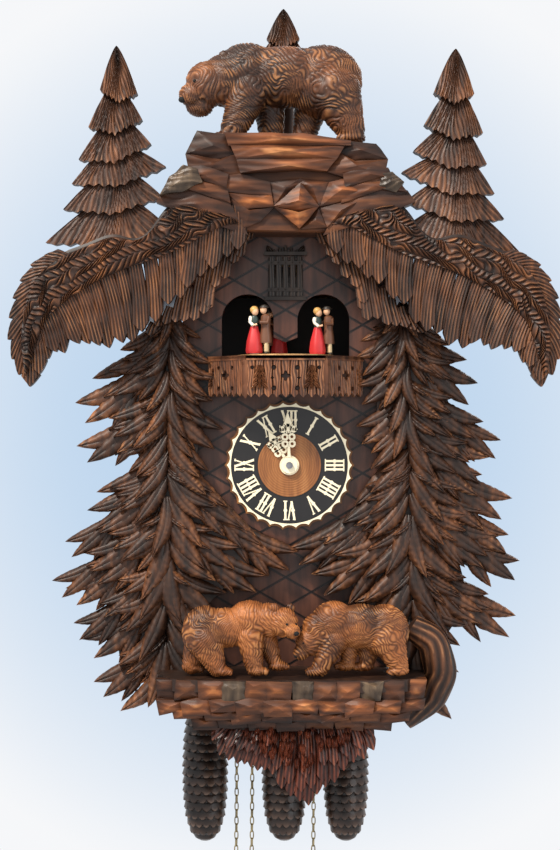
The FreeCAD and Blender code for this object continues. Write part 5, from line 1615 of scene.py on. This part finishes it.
def window_shade_board():
    """Dark box behind the windows, standing in as painted shade of the case's inside, that hides the works from
    the front.
    """
    mesh = Mesh()
    y = FACADE_Y + BACKDROP_GAP
    mesh.box((-0.071, y, -0.135), (0.071, y + 0.002, -0.034), 0.2)
    mesh.make("stage_backdrop", BLACK_PAINT_AND_SHADE, "case", smooth=False)


# ---- Stage ------------------------------------------------------------------------------------------
def light(name, place, target, energy, size, colour=(1, 1, 1)):
    data = bpy.data.lights.new(name, "AREA")
    data.energy, data.size, data.color = energy, size, colour
    lamp = bpy.data.objects.new(name, data)
    lamp.location = place
    lamp.rotation_euler = (Vector(target) - Vector(place)).to_track_quat("-Z", "Y").to_euler()
    bpy.context.scene.collection.objects.link(lamp)


def stage():
    view_distance, view_height = 1.8, 0.8925
    camera = bpy.data.cameras.new("camera")
    camera.sensor_fit = "VERTICAL"
    camera.sensor_height = 24.0
    camera.lens = 24.0 * view_distance / view_height
    camera.clip_end = 50.0
    holder = bpy.data.objects.new("camera", camera)
    holder.location = (-0.0058, FACADE_Y - view_distance, -0.171)
    holder.rotation_euler = (math.pi / 2, 0, 0)
    bpy.context.scene.collection.objects.link(holder)
    bpy.context.scene.camera = holder
    world = bpy.data.worlds.new("studio")
    bpy.context.scene.world = world
    world.use_nodes = True
    tree = world.node_tree
    way = tree.nodes.new("ShaderNodeTexCoord").outputs["Generated"]
    ahead = tree.nodes.new("ShaderNodeVectorMath")
    ahead.operation = "DOT_PRODUCT"
    ahead.inputs[1].default_value = (0, 1, 0)
    tree.links.new(way, ahead.inputs[0])
    glow = tree.nodes.new("ShaderNodeValToRGB")
    glow.color_ramp.elements[0].position, glow.color_ramp.elements[0].color = 0.966, (0.97, 0.98, 1.0, 1)
    glow.color_ramp.elements[1].position, glow.color_ramp.elements[1].color = 0.995, (0.55, 0.71, 0.90, 1)
    tree.links.new(ahead.outputs["Value"], glow.inputs[0])
    tree.links.new(glow.outputs[0], tree.nodes["Background"].inputs[0])
    tree.nodes["Background"].inputs[1].default_value = 0.95
    centre = (0, -0.15, -0.2)
    light("key", (-1.2, -1.6, 1.8), centre, 100, 0.40, (1.0, 0.93, 0.84))
    light("fill", (1.6, -1.8, 0.3), centre, 10, 1.2, (0.94, 0.97, 1.0))
    light("back", (0.8, 1.8, 1.2), centre, 30, 1.2)
    bpy.context.scene.view_settings.view_transform = "Standard"


side_trees()
roof_trees()
eaves()
eave_fringe()
summit()
ledge()
ledge_fringe()
bears()
chains()
dial()
balcony()
cuckoo_door()
door_crest()
dancers()
bird()
window_shade_board()
dress_cad()
stage()
